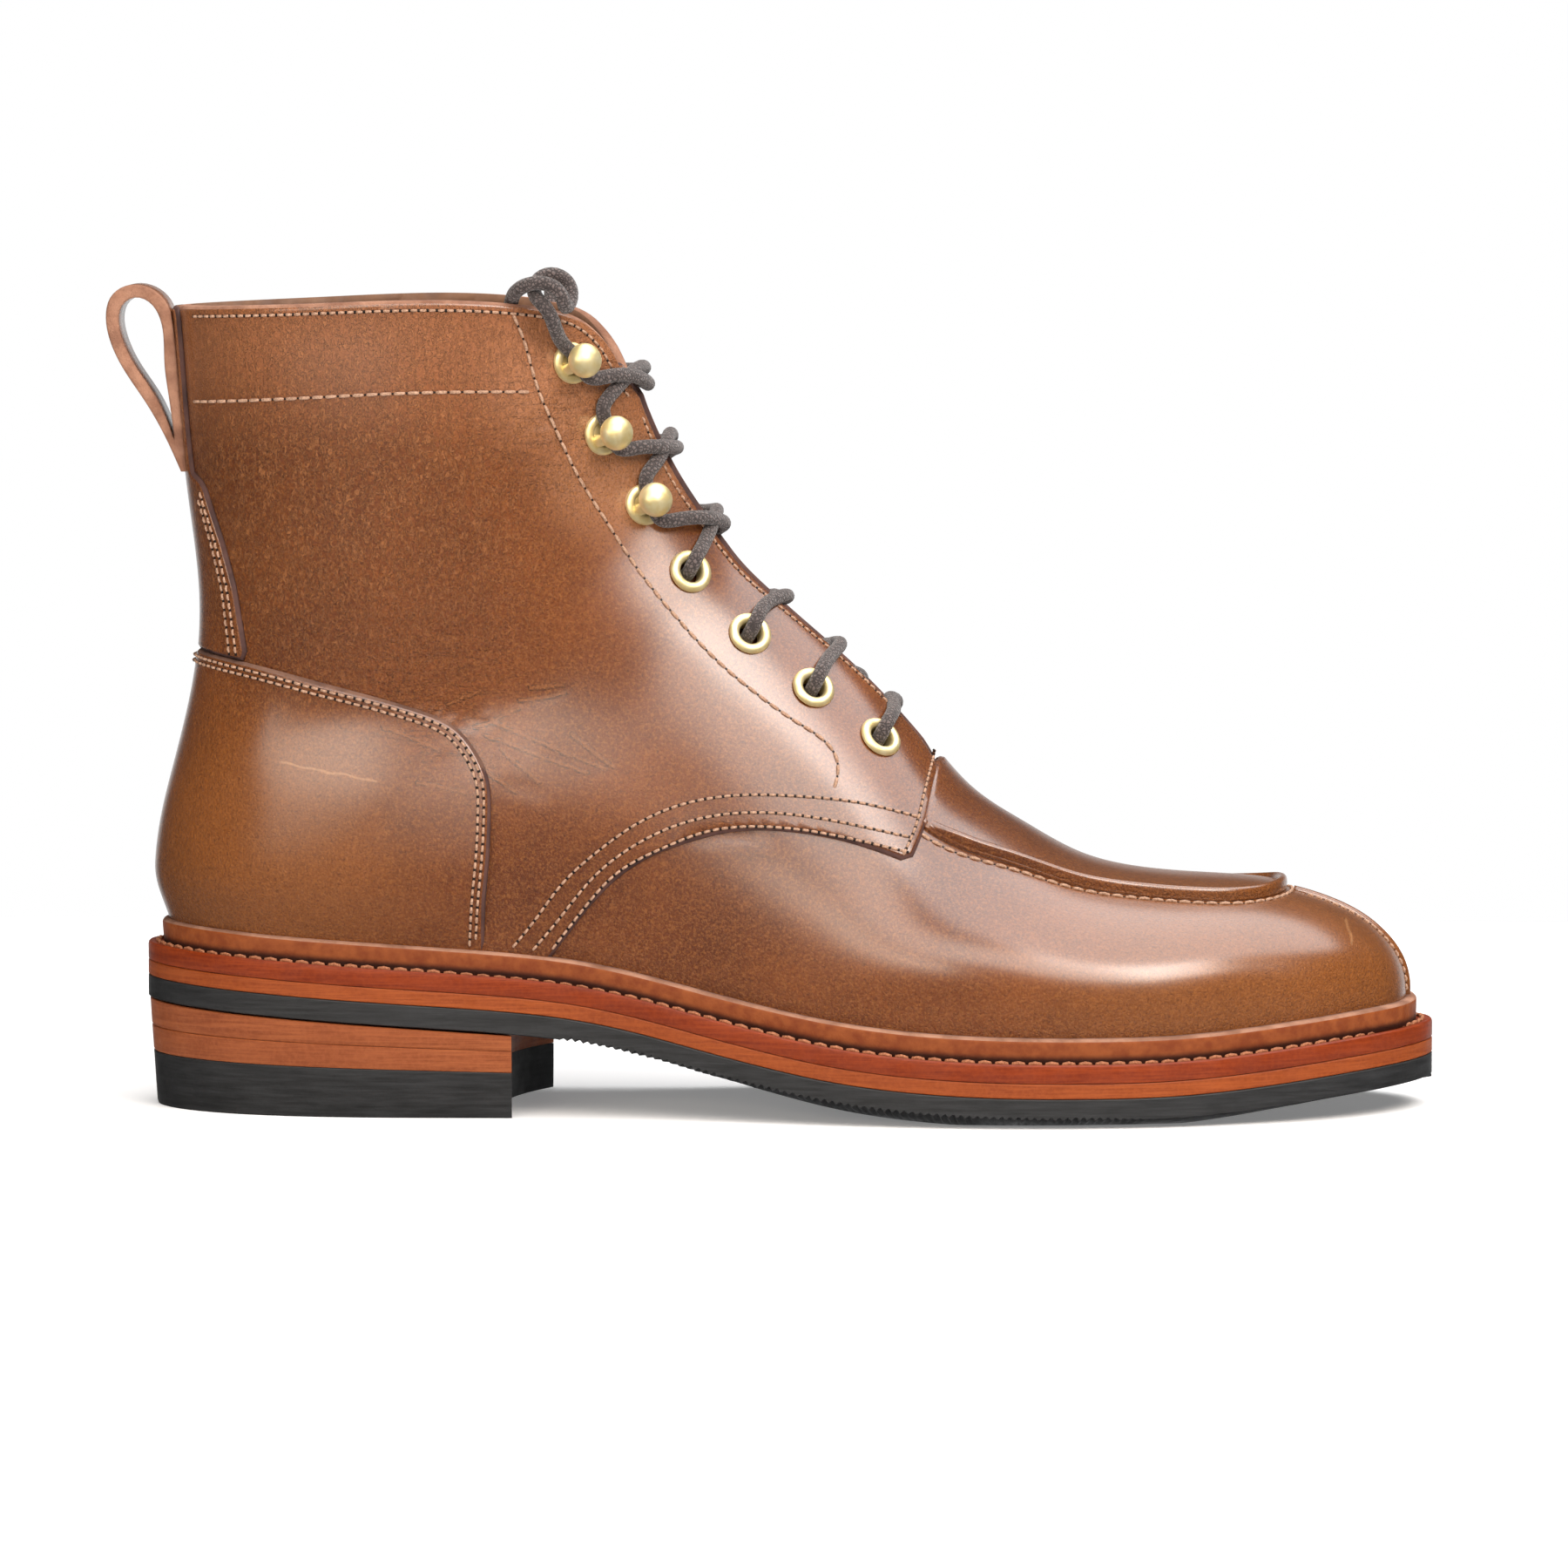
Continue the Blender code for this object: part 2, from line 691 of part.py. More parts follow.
def paint(item, material, smooth=False):
    item.data.materials.clear()
    item.data.materials.append(material)
    if smooth:
        for polygon in item.data.polygons:
            polygon.use_smooth = True
        item.data.set_sharp_from_angle(angle=CREASE_ANGLE)
    return item


def principled(name, colour, roughness, metallic=0.0):
    material = bpy.data.materials.new(name)
    material.use_nodes = True
    shader = material.node_tree.nodes["Principled BSDF"]
    shader.inputs["Base Color"].default_value = (*colour, 1.0)
    shader.inputs["Roughness"].default_value = roughness
    shader.inputs["Metallic"].default_value = metallic
    return material


# The sole

PLATE_STEPS = 23


def plate_rows():
    """Places along the sole, close together at both ends, with its two edges there."""
    heel, toe = SOLE_OUTLINE[0].x, SOLE_OUTLINE[-1].x
    turn = np.linspace(0, math.pi, PLATE_STEPS + 1)
    x = (heel + toe) / 2 - (toe - heel) / 2 * np.cos(turn)
    return x, edge_at(OUTER_EDGE, x), edge_at(INNER_EDGE, x)


def sole_plate(name, top, bottom, tread=None, tread_inset=9.0):
    """A plate of the sole's outline between two heights, its tread lowered inside its edge."""
    x, outer, inner = plate_rows()
    lines = [(outer, top), (inner, top), (inner, bottom), (outer, bottom)]
    if tread:
        inset = np.minimum(tread_inset, (inner - outer) * 0.3)
        lines[3:3] = [(inner - inset, tread), (outer + inset, tread)]
    vertices = []
    for y, height in lines:
        vertices += list(zip(x, y, height(x)))
    count = len(x)
    faces = []
    for line in range(len(lines)):
        after = (line + 1) % len(lines)
        for i in range(count - 1):
            a, b = line * count + i, after * count + i
            faces.append([a, a + 1, b + 1, b])
    for end in (0, count - 1):
        faces.append([line * count + end for line in range(len(lines))])
    return new_object(name, vertices, merged_faces(vertices, faces))


def make_outsole(material):
    item = sole_plate("outsole", outsole_top, outsole_edge, outsole_tread)
    return paint(item, material)


def make_midsole(material):
    def bottom(x):
        return outsole_top(x) + SEAT_GAP

    return paint(sole_plate("midsole", midsole_top, bottom), material)


LIP_OUTER = LIP_THICK + SEAT_GAP
HEEL_LIP_OUTER = QUARTER_STEP + SEAT_GAP + OVERLAY + 1.5
HEEL_LIP_FROM = -50.0
HEEL_LIP_FULL = -72.0


def side_line(height, steps=20, start=BEHIND, end=AHEAD):
    """A side-view line at a height that follows the sole."""
    x = np.linspace(start, end, steps + 1)
    return list(zip(x, height(x)))


def make_welt(material):
    """A flat ring around the upper, with a lip that leans on it."""
    lip_x = FORM_POINTS[..., 0]
    offset = np.interp(lip_x, [HEEL_LIP_FULL, HEEL_LIP_FROM], [HEEL_LIP_OUTER, LIP_OUTER])
    lip = form("lip", offset)

    def under_lip(x):
        return welt_top(x) - OVERRUN

    keep(lip, side_prism("lip_band", side_line(under_lip) + side_line(lip_top)[::-1]))
    welt = join(sole_plate("welt", welt_top, seat), lip)
    cut(welt, form("foot", even(SEAT_GAP), CORE_DROP))
    return paint(welt, material)


# The heel: height of each layer's top at the back and at the breast, and its inset there
HeelLayer = namedtuple("HeelLayer", "name back breast inset")
HEEL_LAYERS = [
    HeelLayer("heel_lift_upper", 25.3, 19.5, 0.4),
    HeelLayer("heel_lift_lower", 18.8, 15.8, 0.8),
    HeelLayer("heel_top_piece", 12.7, 10.7, 1.2),
]
HEEL_FLOOR_INSET = 2.0
HEEL_BACK_X = -148.3
BREAST_OUTER_X = -59.6
BREAST_INNER_X = -53.6
BREAST_HOLLOW = 7.0
HEEL_STEPS = 11
BREAST_STEPS = 8


def heel_outline(inset):
    """Corners of the heel seen from above, with its hollow breast."""
    start = HEEL_BACK_X
    corners = []
    for line, breast in ((OUTER_EDGE, BREAST_OUTER_X), (INNER_EDGE, BREAST_INNER_X)):
        turn = np.linspace(0, math.pi / 2, HEEL_STEPS)
        x = start + (breast - start) * (1 - np.cos(turn))
        y = edge_at(line, x)
        slope_x = np.gradient(x)
        slope_y = np.gradient(y)
        length = np.hypot(slope_x, slope_y)
        inward = 1.0 if line is OUTER_EDGE else -1.0
        shift_x = np.where(np.arange(HEEL_STEPS) == 0, inset, -inward * slope_y / length * inset)
        shift_y = np.where(np.arange(HEEL_STEPS) == 0, 0.0, inward * slope_x / length * inset)
        corners.append(np.stack([x + shift_x, y + shift_y], axis=1))
    outer, inner = corners
    share = np.linspace(0, 1, BREAST_STEPS + 1)[1:-1, None]
    breast = outer[-1] + (inner[-1] - outer[-1]) * share
    breast[:, 0] -= BREAST_HOLLOW * 4 * (share * (1 - share))[:, 0]
    return np.concatenate([outer, breast, inner[:0:-1]])


def heel_height(layer, x):
    share = (x - HEEL_BACK_X) / (BREAST_OUTER_X - HEEL_BACK_X)
    return layer.back + (layer.breast - layer.back) * share


def make_heel(lift_material, top_piece_material):
    floor = HeelLayer("floor", -SEAT_GAP, -SEAT_GAP, HEEL_FLOOR_INSET)
    for layer, below in zip(HEEL_LAYERS, HEEL_LAYERS[1:] + [floor]):
        top = heel_outline(layer.inset)
        bottom = heel_outline(below.inset)
        vertices = [(x, y, heel_height(layer, x)) for x, y in top]
        vertices += [(x, y, heel_height(below, x) + SEAT_GAP) for x, y in bottom]
        count = len(top)
        faces = [list(range(count)), list(range(2 * count - 1, count - 1, -1))]
        for i in range(count):
            j = (i + 1) % count
            faces.append([i, j, count + j, count + i])
        item = new_object(layer.name, vertices, faces)
        paint(item, top_piece_material if layer.name == "heel_top_piece" else lift_material)


# The upper


def above_lip(x):
    """Height at which the quarters, the counter and the toe seam stop, just above the lip."""
    return lip_top(x) + SEAT_GAP


QUARTER_FOOT_X = -51.0
COUNTER_FOOT_X = -68.6


def quarter_outline():
    foot = side_line(above_lip, 8, BEHIND, QUARTER_FOOT_X)
    return QUARTER_EDGE[:-1] + foot[::-1] + [(BEHIND, ABOVE), (AHEAD, ABOVE)]


def counter_outline():
    return COUNTER_EDGE[:-1] + side_line(above_lip, 6, BEHIND, COUNTER_FOOT_X)[::-1]


def ridge(row, out):
    """A place in the side view, a distance out from the ridge at a row."""
    step = 0.05
    x, z = float(CURVES["top_x"](row)), float(CURVES["top_z"](row))
    along_x = float(CURVES["top_x"](row + step)) - float(CURVES["top_x"](row - step))
    along_z = float(CURVES["top_z"](row + step)) - float(CURVES["top_z"](row - step))
    length = math.hypot(along_x, along_z)
    return x + out * along_z / length, z - out * along_x / length


THROAT_STEPS = 12
THROAT_REACH = 14.0


def throat_half(share):
    return THROAT_HALF_LOW + (THROAT_HALF_HIGH - THROAT_HALF_LOW) * share


def make_throat():
    """A curved slab that follows the ridge from the throat to above the collar."""
    vertices = []
    faces = []
    for k in range(THROAT_STEPS + 1):
        share = k / THROAT_STEPS
        row = THROAT_START + (LAST_ROW - 0.1 - THROAT_START) * share
        half = throat_half(share)
        middle = float(CURVES["middle"](row))
        for out in (THROAT_REACH, -THROAT_REACH):
            x, z = ridge(row, out)
            vertices += [(x, middle - half, z), (x, middle + half, z)]
        if k:
            a, b = 4 * (k - 1), 4 * k
            for i, j in ((0, 1), (1, 3), (3, 2), (2, 0)):
                faces.append([a + i, a + j, b + j, b + i])
    last = 4 * THROAT_STEPS
    faces += [[0, 1, 3, 2], [last, last + 1, last + 3, last + 2]]
    return new_object("throat", vertices, faces)


HOLE_RADIUS = 3.4
DRILL_SPAN = -7.0, 3.0
ROUND_SEGMENTS = 8


def lace_places():
    """Each eyelet and hook: its name, its place on the quarter and its normal."""
    places = []
    for kind, table in (("eyelet", EYELETS), ("hook", HOOKS)):
        for side in ("outer", "inner"):
            for number, place in enumerate(table, 1):
                _, point, normal = surface_at(place.x, place.z, side)
                seat_point = point + normal * (QUARTER_STEP + SEAT_GAP)
                places.append((kind, f"{kind}_{side}_{number}", seat_point, normal))
    return places


def make_upper(material):
    """One wall of leather over the last, thicker at the quarters, open at collar, throat and sole."""
    upper = form("upper", even(0.0))
    quarter = form("quarter", even(QUARTER_STEP), LAYER_DROP)
    join(upper, keep(quarter, side_prism("area", quarter_outline())))
    cut(upper, form("inside", even(-WALL), INSIDE_DROP))
    cut(upper, side_prism("below", side_line(seat) + [(AHEAD, BELOW), (BEHIND, BELOW)]))
    cut(upper, side_prism("above", COLLAR + [(COLLAR[-1].x, ABOVE), (BEHIND, ABOVE)]))
    cut(upper, make_throat())
    low, high = DRILL_SPAN
    drill = [(0.0, low), (HOLE_RADIUS, low), (HOLE_RADIUS, high), (0.0, high)]
    for kind, name, point, normal in lace_places():
        if kind == "eyelet":
            cut(upper, lathe("drill", drill, ROUND_SEGMENTS, point, normal))
    return paint(upper, material, smooth=True)


def between(name, low, high, area):
    """The layer between two offsets of the last, kept inside an area."""
    layer = keep(form(name, even(high), LAYER_DROP), area)
    return cut(layer, form("core", even(low), CORE_DROP))


COUNTER_LOW = QUARTER_STEP + SEAT_GAP
COUNTER_HIGH = COUNTER_LOW + OVERLAY


def make_counter(material):
    area = side_prism("area", counter_outline())
    return paint(between("heel_counter", COUNTER_LOW, COUNTER_HIGH, area), material, smooth=True)


BACKSTAY_FRONT = -112.0


def make_backstay(material):
    """A strip that narrows up the back seam, from the counter to the pull loop."""
    half = spline(column(BACKSTAY_ROWS, "z"), column(BACKSTAY_ROWS, "half"))
    heights = np.linspace(BACKSTAY_ROWS[0].z, BACKSTAY_ROWS[-1].z, 9)
    left = [(-float(half(z)), z) for z in heights]
    right = [(float(half(z)), z) for z in heights[::-1]]
    area = back_prism("area", left + right, BEHIND, BACKSTAY_FRONT)
    top = [(p.x, p.z + SEAT_GAP) for p in COUNTER_EDGE[:5]]
    keep(area, side_prism("above", top + [(top[-1][0], ABOVE), (BEHIND, ABOVE)]))
    return paint(between("backstay", COUNTER_LOW, COUNTER_HIGH, area), material, smooth=True)


def make_insole(material):
    def top(x):
        return seat(x) + INSOLE

    insole = form("insole", even(-WALL - SEAT_GAP), LAYER_DROP)
    keep(insole, side_prism("layer", side_line(seat) + side_line(top)[::-1]))
    return paint(insole, material)


TONGUE_ROOT = 9.9
TONGUE_TOP_ROW = 25.9
TONGUE_THICK = 2.0
TONGUE_HALF_LOW = 17.0
TONGUE_HALF_HIGH = 24.0
TONGUE_LEAN = 3.0
TONGUE_SPAN = 60.0, 195.0
TONGUE_DEPTH = 26.0
TONGUE_CLEAR = 8.0


def make_tongue(material):
    """A curved sheet under the throat, from below the vamp to the collar."""
    rows = np.linspace(TONGUE_ROOT, TONGUE_TOP_ROW, 14)
    outline = [ridge(row, TONGUE_CLEAR) for row in rows]
    outline += [ridge(row, -TONGUE_DEPTH) for row in rows[::-1]]
    area = side_prism("area", outline)
    low, high = TONGUE_SPAN
    front = [(-TONGUE_HALF_LOW, low), (TONGUE_HALF_LOW + TONGUE_LEAN, low)]
    front += [(TONGUE_HALF_HIGH, high), (-TONGUE_HALF_HIGH, high)]
    keep(area, back_prism("width", front, BEHIND, AHEAD))
    top = -WALL - SEAT_GAP
    return paint(between("tongue", top - TONGUE_THICK, top, area), material, smooth=True)


APRON_STEPS = 10
POCKET_RUN = 8.0
APRON_SPAN = 35.0, 120.0


def apron_outline(inset):
    """Corners of the apron seen from above, drawn in from its seam by an inset."""
    outer, inner = closed_outline(apron_loop())
    start = APRON_ROWS[0].x
    front = APRON_ROWS[-1].x
    turn = np.linspace(0, math.pi / 2, APRON_STEPS)
    x = start + (front - inset - start) * np.sin(turn)
    left = edge_at(outer, x)
    right = edge_at(inner, x)
    middle = (left + right) / 2
    left = np.minimum(left + inset, middle)
    right = np.maximum(right - inset, middle)
    corners = list(zip(x, left)) + list(zip(x[-2::-1], right[-2::-1]))
    return [(float(a), float(b)) for a, b in corners]


def apron_loop():
    """The apron's rows, rounded off behind the throat so that its outline closes."""
    first = APRON_ROWS[0]
    middle = (first.outer + first.inner) / 2
    return [ApronRow(first.x - 30.0, middle, middle)] + APRON_ROWS


def make_apron(material):
    """The plug of a split-toe vamp: a sheet with a raised rim along its seam."""
    low, high = SEAT_GAP, SEAT_GAP + OVERLAY
    hollow = apron_outline(RIM_WIDTH)
    hollow[0] = (hollow[0][0] - POCKET_RUN, hollow[0][1])
    hollow[-1] = (hollow[-1][0] - POCKET_RUN, hollow[-1][1])
    low_cut, high_cut = APRON_SPAN
    pocket = plan_prism("pocket", hollow, low_cut - OVERRUN, high_cut + OVERRUN)
    cut(pocket, form("sheet", even(high), LAYER_DROP))
    apron = form("apron", even(high + RIM_RISE), RIM_DROP)
    keep(apron, plan_prism("area", apron_outline(0.0), low_cut, high_cut))
    cut(apron, pocket)
    cut(apron, form("core", even(low), CORE_DROP))
    return paint(apron, material, smooth=True)


def make_toe_seam(material):
    """The raised seam from the apron's front down to the welt."""
    middle = FOOT_ROWS[0].middle
    start = APRON_ROWS[-1].x + SEAT_GAP
    outline = side_line(above_lip, 4, start, AHEAD) + [(AHEAD, ABOVE), (start, ABOVE)]
    area = side_prism("area", outline, middle - TOE_SEAM_HALF, middle + TOE_SEAM_HALF)
    return paint(between("toe_seam", SEAT_GAP, SEAT_GAP + OVERLAY, area), material, smooth=True)


def make_pull_loop(material):
    """A folded strap: its inner leg lies on the shaft and its outer leg stands free."""
    half = LOOP_WIDTH / 2
    loop = side_prism("pull_loop", smooth_route(LOOP_FACE, LOOP_STEP), -half, half)
    hole = smooth_route(LOOP_HOLE + LOOP_HOLE[:1], LOOP_STEP)[:-1]
    cut(loop, side_prism("finger_gap", hole, -half - OVERRUN, half + OVERRUN))
    return paint(loop, material)


# Eyelets, hooks and the lace

EYELET_PROFILE = [
    (EYELET_BORE, 0.9),
    (EYELET_BORE + 0.8, 1.3),
    (EYELET_RADIUS - 0.6, 0.9),
    (EYELET_RADIUS, 0.0),
    (HOLE_RADIUS - SEAT_GAP, 0.0),
    (HOLE_RADIUS - SEAT_GAP, -3.1),
    (EYELET_BORE, -3.1),
]
HOOK_PROFILE = [
    (0.0, 0.0),
    (HOOK_BASE, 0.0),
    (HOOK_BASE * 0.86, 0.9),
    (1.9, 1.2),
    (1.7, HOOK_HEIGHT - HOOK_BALL * 0.9),
    (HOOK_BALL * 0.87, HOOK_HEIGHT - HOOK_BALL * 0.5),
    (HOOK_BALL, HOOK_HEIGHT),
    (HOOK_BALL * 0.8, HOOK_HEIGHT + HOOK_BALL * 0.6),
    (0.0, HOOK_HEIGHT + HOOK_BALL),
]


def make_hardware(material):
    for kind, name, point, normal in lace_places():
        profile = EYELET_PROFILE if kind == "eyelet" else HOOK_PROFILE
        paint(lathe(name, profile, ROUND_SEGMENTS, point, normal), material, smooth=True)


# Stations of the lace from the bottom up: how its strands pass each pair of eyelets or hooks
LACE_LIFT = QUARTER_STEP + SEAT_GAP + LACE_RADIUS + 0.2
LACE_STEP = 8.5
BAR_DIP = 0.8
STATION_REACH = 6.6
HOOK_ROWS = 0.42
UNDER_ROWS = 0.25
UNDER_REACH = 4.5
UNDER_LIFT = 0.1
DIP = 0.4


def over_last(row, across, lift):
    """A place over the last's front, at a row, a distance across from the ridge and a lift."""
    i = int(round(row / LAST_ROW * (len(FINE_ROWS) - 1)))
    y = FINE_POINTS[i, :, 1]
    span = slice(int(y.argmin()), int(y.argmax()) + 1)
    target = float(CURVES["middle"](row)) + across
    point = [np.interp(target, y[span], FINE_POINTS[i, span, k]) for k in range(3)]
    normal = [np.interp(target, y[span], FINE_NORMALS[i, span, k]) for k in range(3)]
    return np.array(point) + lift * np.array(normal)


def stations(table, side):
    """The row of each eyelet or hook of a side, and how far its strands start from the ridge."""
    found = []
    for place in table:
        row, point, _ = surface_at(place.x, place.z, side)
        found.append((row, abs(point[1] - float(CURVES["middle"](row))) - STATION_REACH))
    return found


StrandEnd = namedtuple("StrandEnd", "row reach over")


def strand(low, high, side):
    """A strand's route from its low end across the throat to its high end on the other side."""
    lifts = [LACE_LIFT if end.over else UNDER_LIFT for end in (low, high)]
    route = []
    dip = min(DIP, max(lifts))
    places = zip((0.0, 0.2, 0.5, 0.8, 1.0), (lifts[0], lifts[0], dip, lifts[1], lifts[1]))
    for share, lift in places:
        row = low.row + (high.row - low.row) * share
        reach = low.reach - (high.reach + low.reach) * share
        route.append(over_last(row, side * reach, lift))
    return route


def make_crossing(name, routes, material):
    first, second = [as_mesh(cord(name, route, LACE_RADIUS, LACE_STEP)) for route in routes]
    return paint(join(first, second), material, smooth=True)


def strand_ends(side):
    """The low and high ends of a side's strands at each level, from the bottom up."""
    eyelets = stations(EYELETS, side)
    hooks = stations(HOOKS, side)
    lows = [StrandEnd(eyelets[0][0] + UNDER_ROWS, UNDER_REACH, False)]
    lows += [StrandEnd(row, reach, True) for row, reach in eyelets[1:]]
    lows += [StrandEnd(row + HOOK_ROWS, reach, True) for row, reach in hooks[:-1]]
    highs = [StrandEnd(row - UNDER_ROWS, UNDER_REACH, False) for row, _ in eyelets[1:]]
    highs += [StrandEnd(row - HOOK_ROWS, reach, True) for row, reach in hooks]
    return lows, highs


def make_lace(material):
    bar = []
    for side, sign in (("outer", -1.0), ("inner", 1.0)):
        row, reach = stations(EYELETS[:1], side)[0]
        bar.append(over_last(row, sign * reach, LACE_LIFT))
    bar.insert(1, over_last(row, 0.0, LACE_LIFT - BAR_DIP))
    paint(cord("lace_bar", bar, LACE_RADIUS, LACE_STEP), material)
    outer_lows, outer_highs = strand_ends("outer")
    inner_lows, inner_highs = strand_ends("inner")
    for level in range(len(outer_lows)):
        routes = [
            strand(outer_lows[level], inner_highs[level], -1.0),
            strand(inner_lows[level], outer_highs[level], 1.0),
        ]
        make_crossing(f"lace_cross_{level + 1}", routes, material)


# Free ends of the lace, from the top hooks over the collar into the shaft
LacePoint = namedtuple("LacePoint", "x y z")
LACE_END_OUTER = [
    LacePoint(-50.0, -29.6, 183.0),
    LacePoint(-53.0, -31.0, 189.0),
    LacePoint(-55.6, -30.2, 194.0),
    LacePoint(-58.2, -25.6, 196.4),
    LacePoint(-60.6, -20.6, 193.4),
    LacePoint(-61.0, -17.6, 185.0),
    LacePoint(-60.0, -15.6, 172.0),
]
LACE_END_INNER = [
    LacePoint(-50.0, 29.0, 183.0),
    LacePoint(-52.6, 31.0, 189.0),
    LacePoint(-54.0, 29.6, 194.0),
    LacePoint(-53.6, 24.0, 196.6),
    LacePoint(-52.8, 18.0, 194.6),
    LacePoint(-53.0, 14.6, 186.0),
    LacePoint(-54.0, 13.0, 172.0),
]


def make_lace_ends(material):
    routes = {"lace_end_outer": LACE_END_OUTER, "lace_end_inner": LACE_END_INNER}
    for name, route in routes.items():
        paint(cord(name, route, LACE_RADIUS, LACE_STEP), material)


def main():
    clear_scene()
    leather = principled("tan_leather", (0.30, 0.15, 0.07), 0.45)
    edge_leather = principled("welt_leather", (0.27, 0.10, 0.05), 0.6)
    orange_leather = principled("stacked_leather", (0.36, 0.16, 0.06), 0.65)
    rubber = principled("charcoal_rubber", (0.05, 0.05, 0.055), 0.8)
    lining = principled("lining_leather", (0.35, 0.24, 0.14), 0.7)
    brass = principled("brass", (0.75, 0.55, 0.25), 0.25, 1.0)
    waxed_cord = principled("waxed_cord", (0.22, 0.16, 0.13), 0.7)
    make_heel(orange_leather, rubber)
    make_outsole(rubber)
    make_midsole(orange_leather)
    make_welt(edge_leather)
    make_insole(lining)
    make_upper(leather)
    make_counter(leather)
    make_backstay(leather)
    make_pull_loop(leather)
    make_apron(leather)
    make_toe_seam(leather)
    make_tongue(leather)
    make_hardware(brass)
    make_lace(waxed_cord)
    make_lace_ends(waxed_cord)


main()
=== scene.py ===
"""Looks of a split-toe lace-up boot for the right foot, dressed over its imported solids.

+X points to the toe, +Z up, and the outer side of the foot lies at -Y. The floor is z = 0.
Sizes and tables are in millimetres, and every mesh is made in metres.
"""

import math
from collections import namedtuple

import bmesh
import bpy
import numpy as np
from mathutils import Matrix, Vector
from mathutils.kdtree import KDTree


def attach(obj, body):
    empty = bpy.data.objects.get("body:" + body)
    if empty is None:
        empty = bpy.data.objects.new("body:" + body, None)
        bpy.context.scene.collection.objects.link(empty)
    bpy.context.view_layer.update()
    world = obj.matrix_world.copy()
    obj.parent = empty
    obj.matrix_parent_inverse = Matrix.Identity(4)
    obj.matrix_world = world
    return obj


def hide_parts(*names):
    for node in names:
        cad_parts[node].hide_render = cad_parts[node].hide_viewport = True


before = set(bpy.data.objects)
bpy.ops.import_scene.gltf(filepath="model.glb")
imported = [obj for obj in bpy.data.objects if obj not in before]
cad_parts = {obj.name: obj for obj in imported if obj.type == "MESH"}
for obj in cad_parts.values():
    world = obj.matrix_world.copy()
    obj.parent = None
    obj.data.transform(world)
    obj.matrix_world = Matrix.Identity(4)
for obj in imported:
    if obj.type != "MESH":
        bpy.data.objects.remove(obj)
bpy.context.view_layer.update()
MM = 0.001

# Driving sizes in millimetres
WALL = 1.8
QUARTER_STEP = 1.2
OVERLAY = 1.2
SEAT_GAP = 0.3
WELT_FLAT = 4.5
MIDSOLE = 3.6
OUTSOLE = 5.2
WELT_LIP = 5.8
LACE_RADIUS = 1.7
LOOP_WIDTH = 14.0
EYELET_RADIUS = 5.2
EYELET_BORE = 2.7
HOLE_RADIUS = 3.4
HOOK_BALL = 4.1
HOOK_BASE = 4.9
HOOK_HEIGHT = 6.2
END_DROP = 8.0
BEHIND = -165.0
AHEAD = 165.0
ABOVE = 230.0

# Tables of the form


def tabled(names, rows):
    """A table's rows, with names for their columns."""
    row_type = namedtuple("Row", names)
    return [row_type(*row) for row in rows]


# Outline of the sole from the heel to the toe, seen from above
SOLE_OUTLINE = tabled("x outer inner", [
    (-148.3, 0, 0), (-145.2, -12, 12), (-138.5, -20.5, 20.5), (-128, -27.8, 27.8), (-110, -33.6, 33.4),
    (-90, -35.6, 34.8), (-60, -35.4, 33.8), (-30, -37.4, 33.2), (0, -43.8, 36.4), (30, -50, 43.4),
    (55, -52.4, 49), (75, -51.3, 52.4), (95, -47.4, 50.6), (115, -40.2, 45.8), (131, -32.2, 39.4),
    (145, -20.4, 29.6), (153.6, -7.6, 19.2), (157, 6, 6),
])

# Height of the welt's flat top along the foot, and the outsole edge's lift above the tread
SOLE_LINE = tabled("x welt_top edge_lift", [
    (-148, 38.9, 0), (-120, 37.1, 0), (-90, 35.2, 0), (-60, 33.2, 0), (-45, 31.5, 0.2), (-30, 28.6, 0.6),
    (-15, 24.9, 1.2), (0, 21.4, 1.8), (15, 18.5, 2.2), (32, 16.5, 2.4), (52, 15.4, 2.4), (75, 15.1, 2.4),
    (95, 15.4, 2.4), (115, 16.8, 2), (135, 18.9, 1.4), (157, 20.6, 1),
])

